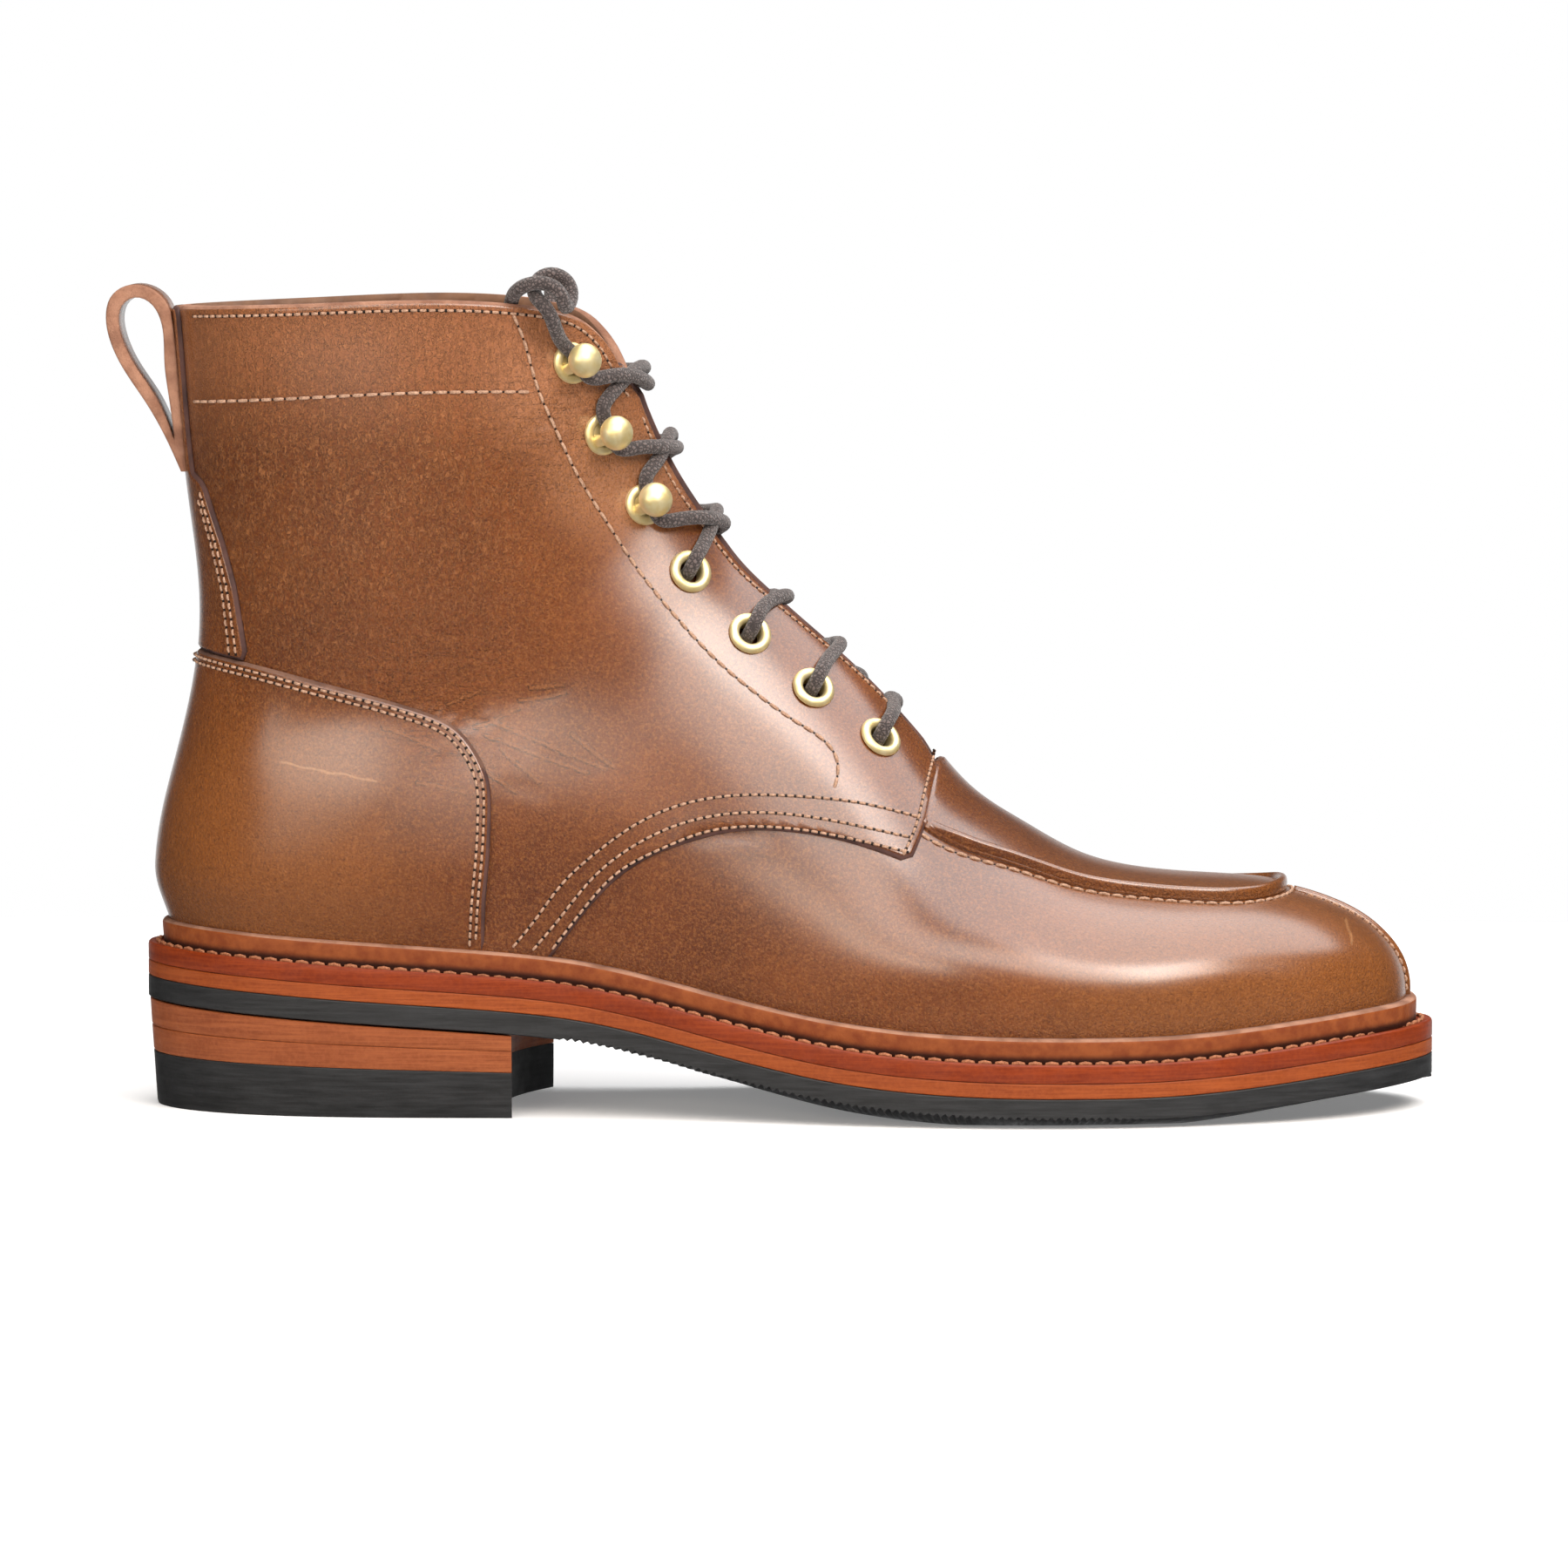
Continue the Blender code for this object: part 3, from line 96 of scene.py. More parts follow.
# Sections of the last from the toe to the heel: each runs from the ridge down to the seat
FOOT_COLUMNS = "top_x top_z middle end_x outer inner end_outer end_inner wide_at top_power low_power"
FOOT_ROWS = tabled(FOOT_COLUMNS, [
    (150.8, 27.6, 6, 150.4, 6, 6, 6, 6, 0.15, 2, 2),
    (149.6, 33.7, 6, 148.4, -5.8, 17.8, -4, 16, 0.36, 2.1, 2),
    (146, 39.3, 6, 144.2, -14.2, 24.6, -10.4, 20.8, 0.48, 2.25, 2),
    (140, 44.4, 6, 137, -21.2, 30.4, -16, 25.4, 0.54, 2.3, 2),
    (131, 48.7, 5.8, 127, -28.6, 36.2, -22.8, 30.6, 0.58, 2.35, 2),
    (118, 52, 5.4, 113, -35, 40.9, -29, 35, 0.6, 2.4, 2),
    (103, 53.2, 4.8, 97, -41.6, 45, -35.6, 39, 0.62, 2.4, 2),
    (88, 54.5, 4, 80, -45.6, 46.6, -39.6, 40.6, 0.63, 2.35, 2),
    (73, 58.2, 3.4, 61, -47.4, 45.8, -41.4, 39.8, 0.65, 2.3, 2),
    (59, 65.9, 3, 41, -47, 42.2, -40.6, 35.6, 0.65, 2.2, 2),
    (46, 74.9, 2.4, 20, -44.6, 38, -37, 29.6, 0.65, 2.1, 2),
    (34, 89, 1.9, -2, -40.6, 34.8, -31.6, 24, 0.64, 2.05, 2),
    (22, 102.8, 1.4, -25, -36.8, 32.6, -27, 20.6, 0.62, 2, 2),
    (11, 113.2, 1, -48, -34.4, 31.6, -24.6, 20.4, 0.6, 2, 2),
    (1.5, 121.9, 0.6, -70, -33.2, 31.4, -25, 22.6, 0.58, 2, 2),
    (-6, 129.4, 0.3, -91, -32.6, 31.6, -25, 23.8, 0.56, 2, 2.05),
    (-11.5, 136.8, 0.1, -110, -32.3, 31.8, -22.4, 22.2, 0.54, 2, 2.1),
    (-15.8, 143.2, 0, -126, -32.2, 32, -16.4, 16.4, 0.53, 2, 2.15),
    (-19, 148.2, 0, -137, -32.2, 32.1, -8.4, 8.4, 0.52, 2, 2.2),
    (-21.6, 152.6, 0, -141.1, -32.3, 32.2, 0, 0, 0.52, 2, 2.2),
])

# Sections of the leg from the heel to above the collar: each runs from the front to the back
LEG_ROWS = tabled("top_x top_z back_x back_z half wide_at top_power low_power", [
    (-23.8, 156.6, -142.4, 50, 32.4, 0.52, 2, 2.05),
    (-26.3, 161.8, -142, 67, 32.6, 0.52, 2, 2.05),
    (-28.6, 167, -138.3, 84.5, 32.8, 0.52, 2, 2.05),
    (-30.6, 172.2, -134.3, 103, 33, 0.52, 2.05, 2.05),
    (-32.4, 177.2, -133.4, 124, 33.2, 0.51, 2.1, 2.05),
    (-34, 182.6, -136.2, 148, 33.6, 0.5, 2.1, 2.05),
    (-35.4, 188.6, -138.2, 172, 34.4, 0.5, 2.1, 2.05),
    (-36.8, 198, -140.2, 198, 35.4, 0.5, 2.1, 2.05),
])
HEEL_ROW = len(FOOT_ROWS) - 1
LAST_ROW = HEEL_ROW + len(LEG_ROWS)

# Lines of the cuts and overlays as (x, z) places of the side view
COLLAR = [
    (BEHIND, 188.8), (-133, 189.7), (-106, 190.7), (-60, 190.7), (-50.5, 189.2), (-44.6, 187),
    (-40.6, 183.6), (-37.4, 179.2), (-35.4, 175), (-31.6, 168.6), (-10, 160),
]
QUARTER_EDGE = [
    (44, 96), (39.8, 82.3), (38.2, 74.8), (36.6, 67.6), (33.6, 60.4), (22.4, 64.4), (11.4, 67), (0.5, 68),
    (-8, 67.6), (-17.6, 65.3), (-27, 61.7), (-35.8, 55.7), (-43.2, 47.6),
]
COUNTER_EDGE = [
    (BEHIND, 112), (-134, 108), (-119.4, 105.6), (-104.3, 102), (-92.6, 98.9), (-81.9, 95.6), (-73, 91.4),
    (-67.7, 85.3), (-65, 79.4), (-64.4, 71.6), (-64.6, 64), (-65.6, 52),
]

# The pull loop in the side view, up its outer face and down along the shaft, and its hole
LOOP_FACE = [
    (-139.4, 150.3), (-143.1, 158.5), (-147.8, 166.8), (-153.2, 175), (-156.4, 182.4), (-157, 187.4),
    (-155.8, 191.6), (-153, 193.9), (-149.7, 194.5), (-145.6, 193.2), (-142.6, 190.2), (-141.1, 185),
    (-140, 174), (-139.3, 166), (-137.9, 150.3),
]
LOOP_HOLE = [
    (-140.9, 157.6), (-145, 167.6), (-150.6, 176.2), (-153.4, 182.8), (-153.9, 187), (-152.6, 190.2),
    (-149.6, 191.4), (-146.6, 190.2), (-144.4, 187), (-143.2, 176), (-142.2, 168),
]

# Places of the eyelets and hooks in the side view
EYELETS = [(25.7, 88), (10.1, 99.7), (-4.8, 112.4), (-18.9, 127.1)]
HOOKS = [(-29.8, 142.9), (-39.6, 159.7), (-46.5, 176.5)]

# Outline of the apron from under the quarters to its front, seen from above
APRON_LOOP = tabled("x outer inner", [
    (12, 2, 2), (20, -24, 28), (41.5, -28.6, 33), (55, -27.2, 32.6), (70, -24.4, 31.2), (85, -21.6, 29.8),
    (100, -20, 29.2), (111, -17, 27), (118, -10.8, 22), (122.3, 6, 6),
])

# Half-width of the backstay by height, and of the strip that runs on from it up to the collar
BACKSTAY_ROWS = tabled("z half", [
    (90, 21), (104, 20.5), (124, 19.1), (135, 17.3), (143, 15.4), (148.6, 14), (150.4, 9.4), (168, 8.8),
    (200, 8.2),
])

# Half-width of the throat along the ridge, by row of the last
THROAT_START = 10.55
THROAT_HALF_LOW = 7.0
THROAT_HALF_HIGH = 8.6

SIDES = ("outer", -1.0), ("inner", 1.0)

# Curves through the tables


def spline(knots, values):
    """A natural cubic curve through the values at the knots, level past its ends."""
    knots = np.asarray(knots, float)
    values = np.asarray(values, float)
    gaps = np.diff(knots)
    slopes = np.diff(values) / gaps
    count = len(knots)
    system = np.eye(count)
    right = np.zeros(count)
    for i in range(1, count - 1):
        system[i, i - 1 : i + 2] = gaps[i - 1], 2 * (gaps[i - 1] + gaps[i]), gaps[i]
        right[i] = 6 * (slopes[i] - slopes[i - 1])
    bend = np.linalg.solve(system, right)

    def at(where):
        where = np.clip(where, knots[0], knots[-1])
        i = np.clip(np.searchsorted(knots, where) - 1, 0, count - 2)
        before = (where - knots[i]) / gaps[i]
        after = 1 - before
        straight = after * values[i] + before * values[i + 1]
        curve = (after**3 - after) * bend[i] + (before**3 - before) * bend[i + 1]
        return straight + curve * gaps[i] ** 2 / 6

    return at


def run_lengths(line):
    """How far along a line each of its points lies."""
    return np.concatenate([[0], np.cumsum(np.linalg.norm(np.diff(line, axis=0), axis=1))])


def unit(vectors):
    """The same directions, each one long."""
    return vectors / np.maximum(np.linalg.norm(vectors, axis=-1, keepdims=True), 1e-12)


def right_of(directions):
    """Directions in a plane, each turned a quarter to its right."""
    return np.stack([directions[:, 1], -directions[:, 0]], axis=1)


def in_axes(values, at, knots):
    """Each column of some values, read between knots."""
    return np.stack([np.interp(at, knots, values[:, k]) for k in range(values.shape[1])], axis=-1)


def column(table, name):
    return [getattr(row, name) for row in table]


def sole_curve(name):
    return spline(column(SOLE_LINE, "x"), column(SOLE_LINE, name))


welt_top = sole_curve("welt_top")
edge_lift = sole_curve("edge_lift")


def midsole_top(x):
    return welt_top(x) - WELT_FLAT


def seat(x):
    """Height at which the upper and the insole stand on the midsole."""
    return midsole_top(x) + SEAT_GAP


def outsole_top(x):
    return midsole_top(x) - MIDSOLE


def outsole_edge(x):
    return outsole_top(x) - OUTSOLE


def outsole_tread(x):
    """Height of the tread inside its lifted edge, level with the floor under the ball."""
    return np.maximum(outsole_edge(x) - edge_lift(x), 0.0)


def lip_top(x):
    return welt_top(x) + WELT_LIP


def closed_outline(table, samples=1600):
    """The outer and inner edge of a closed outline, as two dense lines from heel to toe."""
    outer = [(row.x, row.outer) for row in table]
    inner = [(row.x, row.inner) for row in table[-2:0:-1]]
    loop = np.array(outer + inner)
    wrapped = np.concatenate([loop[-4:], loop, loop[:5]])
    along = run_lengths(wrapped)
    x_at = spline(along, wrapped[:, 0])
    y_at = spline(along, wrapped[:, 1])
    heel, toe, again = along[4], along[4 + len(outer) - 1], along[4 + len(loop)]
    outer_run = np.linspace(heel, toe, samples)
    inner_run = np.linspace(again, toe, samples)
    return [np.stack([x_at(run), y_at(run)], axis=1) for run in (outer_run, inner_run)]


def edge_at(line, x):
    return np.interp(x, np.maximum.accumulate(line[:, 0]), line[:, 1])


OUTER_EDGE, INNER_EDGE = closed_outline(SOLE_OUTLINE)

# The last's surface

ALL_ROWS = np.arange(LAST_ROW + 1)


def row_curve(values, before_toe):
    """A curve along the rows of the last, continued past the toe by the values given."""
    knots = np.concatenate([[-2, -1], np.arange(len(values))])
    return spline(knots, np.concatenate([before_toe, values]))


def mirrored(values):
    return [values[2], values[1]]


def foot_and_leg(name):
    return column(FOOT_ROWS, name) + column(LEG_ROWS, name)


def last_curves():
    """The curves of the last by name: ridge, widest places, ends and fullness."""
    top_x = foot_and_leg("top_x")
    top_z = foot_and_leg("top_z")
    half = column(LEG_ROWS, "half")
    outer = column(FOOT_ROWS, "outer") + [-value for value in half]
    inner = column(FOOT_ROWS, "inner") + half
    middle = column(FOOT_ROWS, "middle") + [0.0] * len(LEG_ROWS)
    end_x = column(FOOT_ROWS, "end_x")
    end_outer = column(FOOT_ROWS, "end_outer")
    end_inner = column(FOOT_ROWS, "end_inner")
    heel_x = end_x[-1]
    heel_z = float(seat(heel_x)) - END_DROP
    leg_knots = np.arange(HEEL_ROW, LAST_ROW + 1)
    past_heel = [HEEL_ROW + 1, HEEL_ROW + 2]

    def foot_curve(values, before_toe, after_heel):
        knots = np.concatenate([[-2, -1], np.arange(len(values)), past_heel])
        return spline(knots, np.concatenate([before_toe, values, after_heel]))

    curves = {
        "top_x": row_curve(top_x, mirrored(top_x)),
        "top_z": spline(ALL_ROWS, top_z),
        "middle": row_curve(middle, mirrored(middle)),
        "outer": row_curve(outer, mirrored(inner)),
        "inner": row_curve(inner, mirrored(outer)),
        "end_x": foot_curve(end_x, mirrored(end_x), [end_x[-2], end_x[-3]]),
        "end_outer": foot_curve(end_outer, mirrored(end_inner), [end_inner[-2], end_inner[-3]]),
        "end_inner": foot_curve(end_inner, mirrored(end_outer), [end_outer[-2], end_outer[-3]]),
        "back_x": spline(leg_knots, [heel_x] + column(LEG_ROWS, "back_x")),
        "back_z": spline(leg_knots, [heel_z] + column(LEG_ROWS, "back_z")),
    }
    for name in ("wide_at", "top_power", "low_power"):
        curves[name] = spline(ALL_ROWS, foot_and_leg(name))
    return curves


CURVES = last_curves()


SECTION_SAMPLES = 160


def half_section(row, side, count):
    """Evenly spaced points of one half of a section, from the ridge to its end."""
    at = {name: float(curve(row)) for name, curve in CURVES.items()}
    if row <= HEEL_ROW:
        end_x, end_z, end_y = at["end_x"], float(seat(at["end_x"])) - END_DROP, at["end_" + side]
    else:
        end_x, end_z, end_y = at["back_x"], at["back_z"], 0.0
    quarter = np.linspace(0, math.pi / 2, SECTION_SAMPLES)
    top_power, low_power, wide = 2 / at["top_power"], 2 / at["low_power"], at["wide_at"]
    high = wide * (1 - np.cos(quarter) ** top_power)
    low = wide + (1 - wide) * np.sin(quarter) ** low_power
    down = np.concatenate([high, low[1:]])
    high = at["middle"] + (at[side] - at["middle"]) * np.sin(quarter) ** top_power
    low = end_y + (at[side] - end_y) * np.cos(quarter) ** low_power
    across = np.concatenate([high, low[1:]])
    along_x = at["top_x"] + (end_x - at["top_x"]) * down
    line = np.stack([along_x, across, at["top_z"] + (end_z - at["top_z"]) * down], axis=1)
    run = run_lengths(line)
    return in_axes(line, np.linspace(0, run[-1], count), run)


HEEL_SPAN = 2.6
HEEL_SPREAD = 0.75


def soften_heel(rows, points):
    """The same grid with its fan of sections blended where the foot turns into the leg."""
    blended = points.copy()
    for k in np.flatnonzero(np.abs(rows - HEEL_ROW) < HEEL_SPAN):
        spread = HEEL_SPREAD * (1 - (abs(rows[k] - HEEL_ROW) / HEEL_SPAN) ** 2)
        weights = np.exp(-0.5 * ((rows - rows[k]) / max(spread, 1e-3)) ** 2)
        blended[k] = np.tensordot(weights / weights.sum(), points, 1)
    closed = rows >= HEEL_ROW
    middle = (blended[closed, 0] + blended[closed, -1]) / 2
    blended[closed, 0] = middle
    blended[closed, -1] = middle
    return blended


# Drawing in of the leg above the heel, as a share of its width
ANKLE_SHARE = 0.14
ANKLE_Z = 99.0
ANKLE_SPREAD = 19.0
ANKLE_X = -12.0, -80.0

# Leaning in of the collar and swell of the vamp's sides, as shares of the width
COLLAR_SHARE = 0.06
COLLAR_LEAN_Z = 158.0, 192.0
VAMP_SHARE = 0.038
VAMP_Z = 39.5
VAMP_SPREAD = 13.0
VAMP_X = 10.0, 45.0


def eased(values, limits):
    """Zero to one between two limits, with soft ends."""
    share = np.clip((values - limits[0]) / (limits[1] - limits[0]), 0, 1)
    return share * share * (3 - 2 * share)


def bell(values, centre, spread):
    """One at a centre, falling off to both sides."""
    return np.exp(-(((values - centre) / spread) ** 2))


def narrowed(points):
    """The same points with the leg drawn in at ankle and collar, and the vamp's sides swelled."""
    x, z = points[..., 0], points[..., 2]
    ankle = bell(z, ANKLE_Z, ANKLE_SPREAD) * eased(x, ANKLE_X)
    vamp = bell(z, VAMP_Z, VAMP_SPREAD) * eased(x, VAMP_X)
    collar = eased(z, COLLAR_LEAN_Z)
    drawn = points.copy()
    drawn[..., 1] *= 1 - ANKLE_SHARE * ankle - COLLAR_SHARE * collar + VAMP_SHARE * vamp
    return drawn


def last_grid(rows, half_columns):
    """Points and outward normals of the last, row by row from the outer to the inner end."""
    points = []
    for row in rows:
        outer = half_section(row, "outer", half_columns)
        inner = half_section(row, "inner", half_columns)
        points.append(np.concatenate([outer[::-1], inner[1:]]))
    points = narrowed(soften_heel(rows, np.array(points)))
    normals = unit(np.cross(np.gradient(points, axis=1), np.gradient(points, axis=0)))
    normals[0] = normals[0] + normals[0, ::-1]
    ridge = half_columns - 1
    normals[0, ridge] = normals[0, ridge - 1] + normals[1, ridge]
    closed = rows >= HEEL_ROW
    ends = normals[closed, 0] + normals[closed, -1]
    normals[closed, 0] = ends
    normals[closed, -1] = ends
    return points, unit(normals)


FINE_ROWS = np.linspace(0, LAST_ROW, 271)
FINE_POINTS, FINE_NORMALS = last_grid(FINE_ROWS, 61)


def nearest_run(plan, axes, choose):
    """Places and normals on the last nearest to a line in two of its axes."""
    points = FINE_POINTS.reshape(-1, 3)
    normals = FINE_NORMALS.reshape(-1, 3)
    chosen = np.flatnonzero(choose(points, normals))
    points, normals = points[chosen], normals[chosen]
    (a, b), c = axes, 3 - sum(axes)
    places = []
    found = []
    for first, second in plan:
        k = int(np.hypot(points[:, a] - first, points[:, b] - second).argmin())
        place, normal = points[k].copy(), normals[k]
        place[c] -= (normal[a] * (first - place[a]) + normal[b] * (second - place[b])) / normal[c]
        place[a], place[b] = first, second
        places.append(place)
        found.append(normal)
    return np.array(places), np.array(found)


# Least share of a normal that points to a side, for a place to count as on it
TURNED = 0.1


def surface_run(plan, side):
    """Places and normals on the last's outer or inner side along a line of the side view."""
    sign = dict(SIDES)[side]
    return nearest_run(plan, (0, 2), lambda points, normals: normals[:, 1] * sign >= TURNED)


def surface_at(x, z, side):
    """The place and normal on the last's outer or inner side at a place of the side view."""
    places, normals = surface_run([(x, z)], side)
    return places[0], normals[0]


# The fine grid over the last

Grid = namedtuple("Grid", "rows points normals twin")


def make_grid(rows, half_columns):
    """A grid of points over the last, with the points that coincide at toe and heel paired."""
    points, normals = last_grid(rows, half_columns)
    twin = np.arange(points.shape[0] * points.shape[1]).reshape(points.shape[:2])
    twin[0, half_columns:] = twin[0, half_columns - 2 :: -1]
    closed = rows >= HEEL_ROW
    twin[closed, -1] = twin[closed, 0]
    return Grid(rows, points, normals, twin)


GRID_STEPS = 14
GRID_HALF = 91
MAIN_GRID = make_grid(np.arange(0, LAST_ROW * GRID_STEPS + 1) / GRID_STEPS, GRID_HALF)

Clip = namedtuple("Clip", "points normals faces rim")


def clip(points, field):
    """The grid's faces where a field is positive, cut along its zero line, and their rim."""
    index = MAIN_GRID.twin
    value = field.ravel()[index.ravel()]
    points = points.reshape(-1, 3)
    normals = MAIN_GRID.normals.reshape(-1, 3)
    corners = [index[:-1, :-1], index[:-1, 1:], index[1:, 1:], index[1:, :-1]]
    quads = np.stack(corners, axis=-1).reshape(-1, 4)
    hits = (value >= 0)[quads].sum(axis=1)
    faces = quads[hits == 4].tolist()
    extra_points = []
    extra_normals = []
    crossings = {}

    def crossing(a, b):
        key = min(a, b), max(a, b)
        if key not in crossings:
            share = value[a] / (value[a] - value[b])
            crossings[key] = len(value) + len(extra_points)
            extra_points.append(points[a] + (points[b] - points[a]) * share)
            extra_normals.append(normals[a] + (normals[b] - normals[a]) * share)
        return crossings[key]

    for quad in quads[(hits > 0) & (hits < 4)].tolist():
        polygon = []
        for a, b in zip(quad, quad[1:] + quad[:1]):
            if value[a] >= 0:
                polygon.append(a)
            if value[a] * value[b] < 0:
                polygon.append(crossing(a, b))
        polygon = list(dict.fromkeys(polygon))
        if len(polygon) > 2:
            faces.append(polygon)
    used = sorted({corner for face in faces for corner in face})
    number = {corner: k for k, corner in enumerate(used)}
    faces = [[number[corner] for corner in face] for face in faces]
    edges = dict.fromkeys(pair for face in faces for pair in zip(face, face[1:] + face[:1]))
    rim = [(a, b) for a, b in edges if (b, a) not in edges]
    points = np.concatenate([points, np.reshape(extra_points, (-1, 3))])[used]
    normals = np.concatenate([normals, np.reshape(extra_normals, (-1, 3))])[used]
    normals = normals / np.linalg.norm(normals, axis=1, keepdims=True)
    return Clip(points, normals, faces, rim)


def nearest_on(segments, points):
    """The nearest place on line segments to each of the points."""
    tree = KDTree(3 * len(segments))
    for k, (start, end) in enumerate(segments):
        for share in (0.0, 0.5, 1.0):
            tree.insert(start + (end - start) * share, k)
    tree.balance()
    found = np.array([tree.find(point)[1] for point in points], int)
    starts = segments[found, 0]
    runs = segments[found, 1] - starts
    share = ((points - starts) * runs).sum(axis=1) / np.maximum((runs * runs).sum(axis=1), 1e-12)
    return starts + runs * np.clip(share, 0, 1)[:, None]


FAR = 8.0
SNAP = 0.3


def edge_profile(high, raw=0.7, soft=0.35):
    """A layer's rounded shoulder and sloped raw edge, as steps of inset and height over the last."""
    return [
        (raw + soft, high),
        (raw + soft * 0.4, high - soft * 0.2),
        (raw, high - soft * 0.6),
        (raw * 0.35, high - soft * 0.6 - raw * 0.5),
        (0.0, high - soft * 0.6 - raw * 0.9),
    ]


def panel(name, field, low, profile, materials, lift=None):
    """A closed layer where a field is positive: its face, its edge and its back, with a material each."""
    outline = clip(MAIN_GRID.points, field)
    segments = np.array([[outline.points[a], outline.points[b]] for a, b in outline.rim])
    points = MAIN_GRID.points.reshape(-1, 3).copy()
    field = field.ravel()
    sign = np.where(field >= 0, 1.0, -1.0)
    signed = sign * FAR
    near = np.flatnonzero(np.abs(field) < FAR)
    away = points[near] - nearest_on(segments, points[near])
    distance = np.linalg.norm(away, axis=1)
    signed[near] = sign[near] * np.minimum(distance, FAR)
    inward = away * (sign[near] / np.maximum(distance, 1e-9))[:, None]
    inset = profile[0][0]
    excess = signed[near] - inset
    snapped = np.abs(excess) < SNAP
    points[near[snapped]] -= inward[snapped] * excess[snapped, None]
    depth = signed - inset
    depth[near[snapped]] = 0.0
    shape = MAIN_GRID.points.shape
    face = clip(points.reshape(shape), depth.reshape(shape[:2]))

    rim = sorted({corner for pair in face.rim for corner in pair})
    place = {corner: k for k, corner in enumerate(rim)}
    base = face.points[rim]
    normals = face.normals[rim]
    away = base - nearest_on(segments, base)
    inward = away / np.maximum(np.linalg.norm(away, axis=1, keepdims=True), 1e-9)
    raise_face = lift(face.points) if lift else np.zeros(len(face.points))
    raise_rim = raise_face[rim]
    layers = [face.points + face.normals * (profile[0][1] + raise_face)[:, None]]
    for step, height in profile[1:]:
        layers.append(base - inward * (inset - step) + normals * (height + raise_rim)[:, None])
    back = face.points + face.normals * low
    back[rim] = base - inward * inset + normals * low
    layers.append(back)
    starts = np.cumsum([0] + [len(layer) for layer in layers])
    steps = len(profile) - 1

    def ring(step, corner):
        if step == 0:
            return corner
        if step > steps:
            return starts[-2] + corner
        return starts[step] + place[corner]

    faces = list(face.faces)
    kinds = [0] * len(faces)
    for step in range(steps + 1):
        for a, b in face.rim:
            faces.append([ring(step, b), ring(step, a), ring(step + 1, a), ring(step + 1, b)])
        kinds += [1 if step >= steps - 2 else 0] * len(face.rim)
    faces += [[starts[-2] + corner for corner in reversed(polygon)] for polygon in face.faces]
    kinds += [2] * len(face.faces)
    return solid(name, np.concatenate(layers), faces, materials, kinds)


# Mesh tools


def solid(name, points, faces, materials, kinds=None, smooth=True):
    """A mesh object in metres that rides on the boot, with a material for each kind of face."""
    mesh = bpy.data.meshes.new(name)
    mesh.from_pydata((np.asarray(points) * MM).tolist(), [], [list(map(int, face)) for face in faces])
    for material in materials:
        mesh.materials.append(material)
    if kinds is not None:
        mesh.polygons.foreach_set("material_index", np.minimum(kinds, len(materials) - 1).astype(np.int32))
    mesh.polygons.foreach_set("use_smooth", np.full(len(mesh.polygons), smooth))
    mesh.update()
    item = bpy.data.objects.new(name, mesh)
    bpy.context.scene.collection.objects.link(item)
    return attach(item, "root")


def outward(item, crease=None):
    """The same object with its faces turned outward, and edges sharp past a crease angle."""
    bm = bmesh.new()
    bm.from_mesh(item.data)
    bmesh.ops.recalc_face_normals(bm, faces=bm.faces)
    bm.to_mesh(item.data)
    bm.free()
    if crease:
        item.data.set_sharp_from_angle(angle=math.radians(crease))
    return item


def signed_distance(outline, a, b):
    """Distance of points inside a closed 2-D outline, negative outside it."""
    outline = np.asarray(outline, float)
    nearest = np.full(a.shape, np.inf)
    inside = np.zeros(a.shape, bool)
    for (a0, b0), (a1, b1) in zip(outline, np.roll(outline, -1, axis=0)):
        run_a, run_b = a1 - a0, b1 - b0
        share = ((a - a0) * run_a + (b - b0) * run_b) / max(run_a**2 + run_b**2, 1e-12)
        share = np.clip(share, 0, 1)
        nearest = np.minimum(nearest, np.hypot(a - a0 - share * run_a, b - b0 - share * run_b))
        if run_b:
            inside ^= ((b0 > b) != (b1 > b)) & (a < a0 + (b - b0) * run_a / run_b)
    return np.where(inside, nearest, -nearest)


# A direction off every axis, to start a tube's arm, and the sides of a turned piece
TUBE_ARM = 0.3, 0.5, 0.8
ROUND_SEGMENTS = 36


def even_places(length, step, fewest):
    """Evenly spaced lengths about a step apart."""
    return np.linspace(0, length, max(fewest, int(round(length / step)) + 1))


def smooth_route(route, step):
    """Points about a step apart on a smooth curve through a route's own points."""
    route = np.array(route, float)
    along = run_lengths(route)
    even = even_places(along[-1], step, 3)
    return np.stack([spline(along, values)(even) for values in route.T], axis=1)


def even_steps(line, step):
    """The same line with its points a fixed step apart."""
    along = run_lengths(line)
    return in_axes(line, even_places(along[-1], step, 2), along)


def wall_faces(loops, size, closed=False):
    """Faces between neighbouring loops of points, and from the last to the first if closed."""
    faces = []
    for level in range(loops if closed else loops - 1):
        a, b = level * size, (level + 1) % loops * size
        for i in range(size):
            j = (i + 1) % size
            faces.append([a + i, a + j, b + j, b + i])
    return faces


def tube(path, radii, sides):
    """Points and faces of a round tube with closed ends along a path."""
    path = np.asarray(path, float)
    count = len(path)
    radii = np.broadcast_to(radii, count)
    along = unit(np.gradient(path, axis=0))
    arm = np.cross(along[0], TUBE_ARM)
    angle = 2 * math.pi * np.arange(sides) / sides
    points = []
    for k in range(count):
        arm = arm - along[k] * (arm @ along[k])
        arm /= np.linalg.norm(arm)
        other = np.cross(along[k], arm)
        circle = np.cos(angle)[:, None] * arm + np.sin(angle)[:, None] * other
        points.append(path[k] + circle * radii[k])
    ends = [list(range(sides))[::-1], [(count - 1) * sides + i for i in range(sides)]]
    return np.concatenate(points), ends + wall_faces(count, sides)


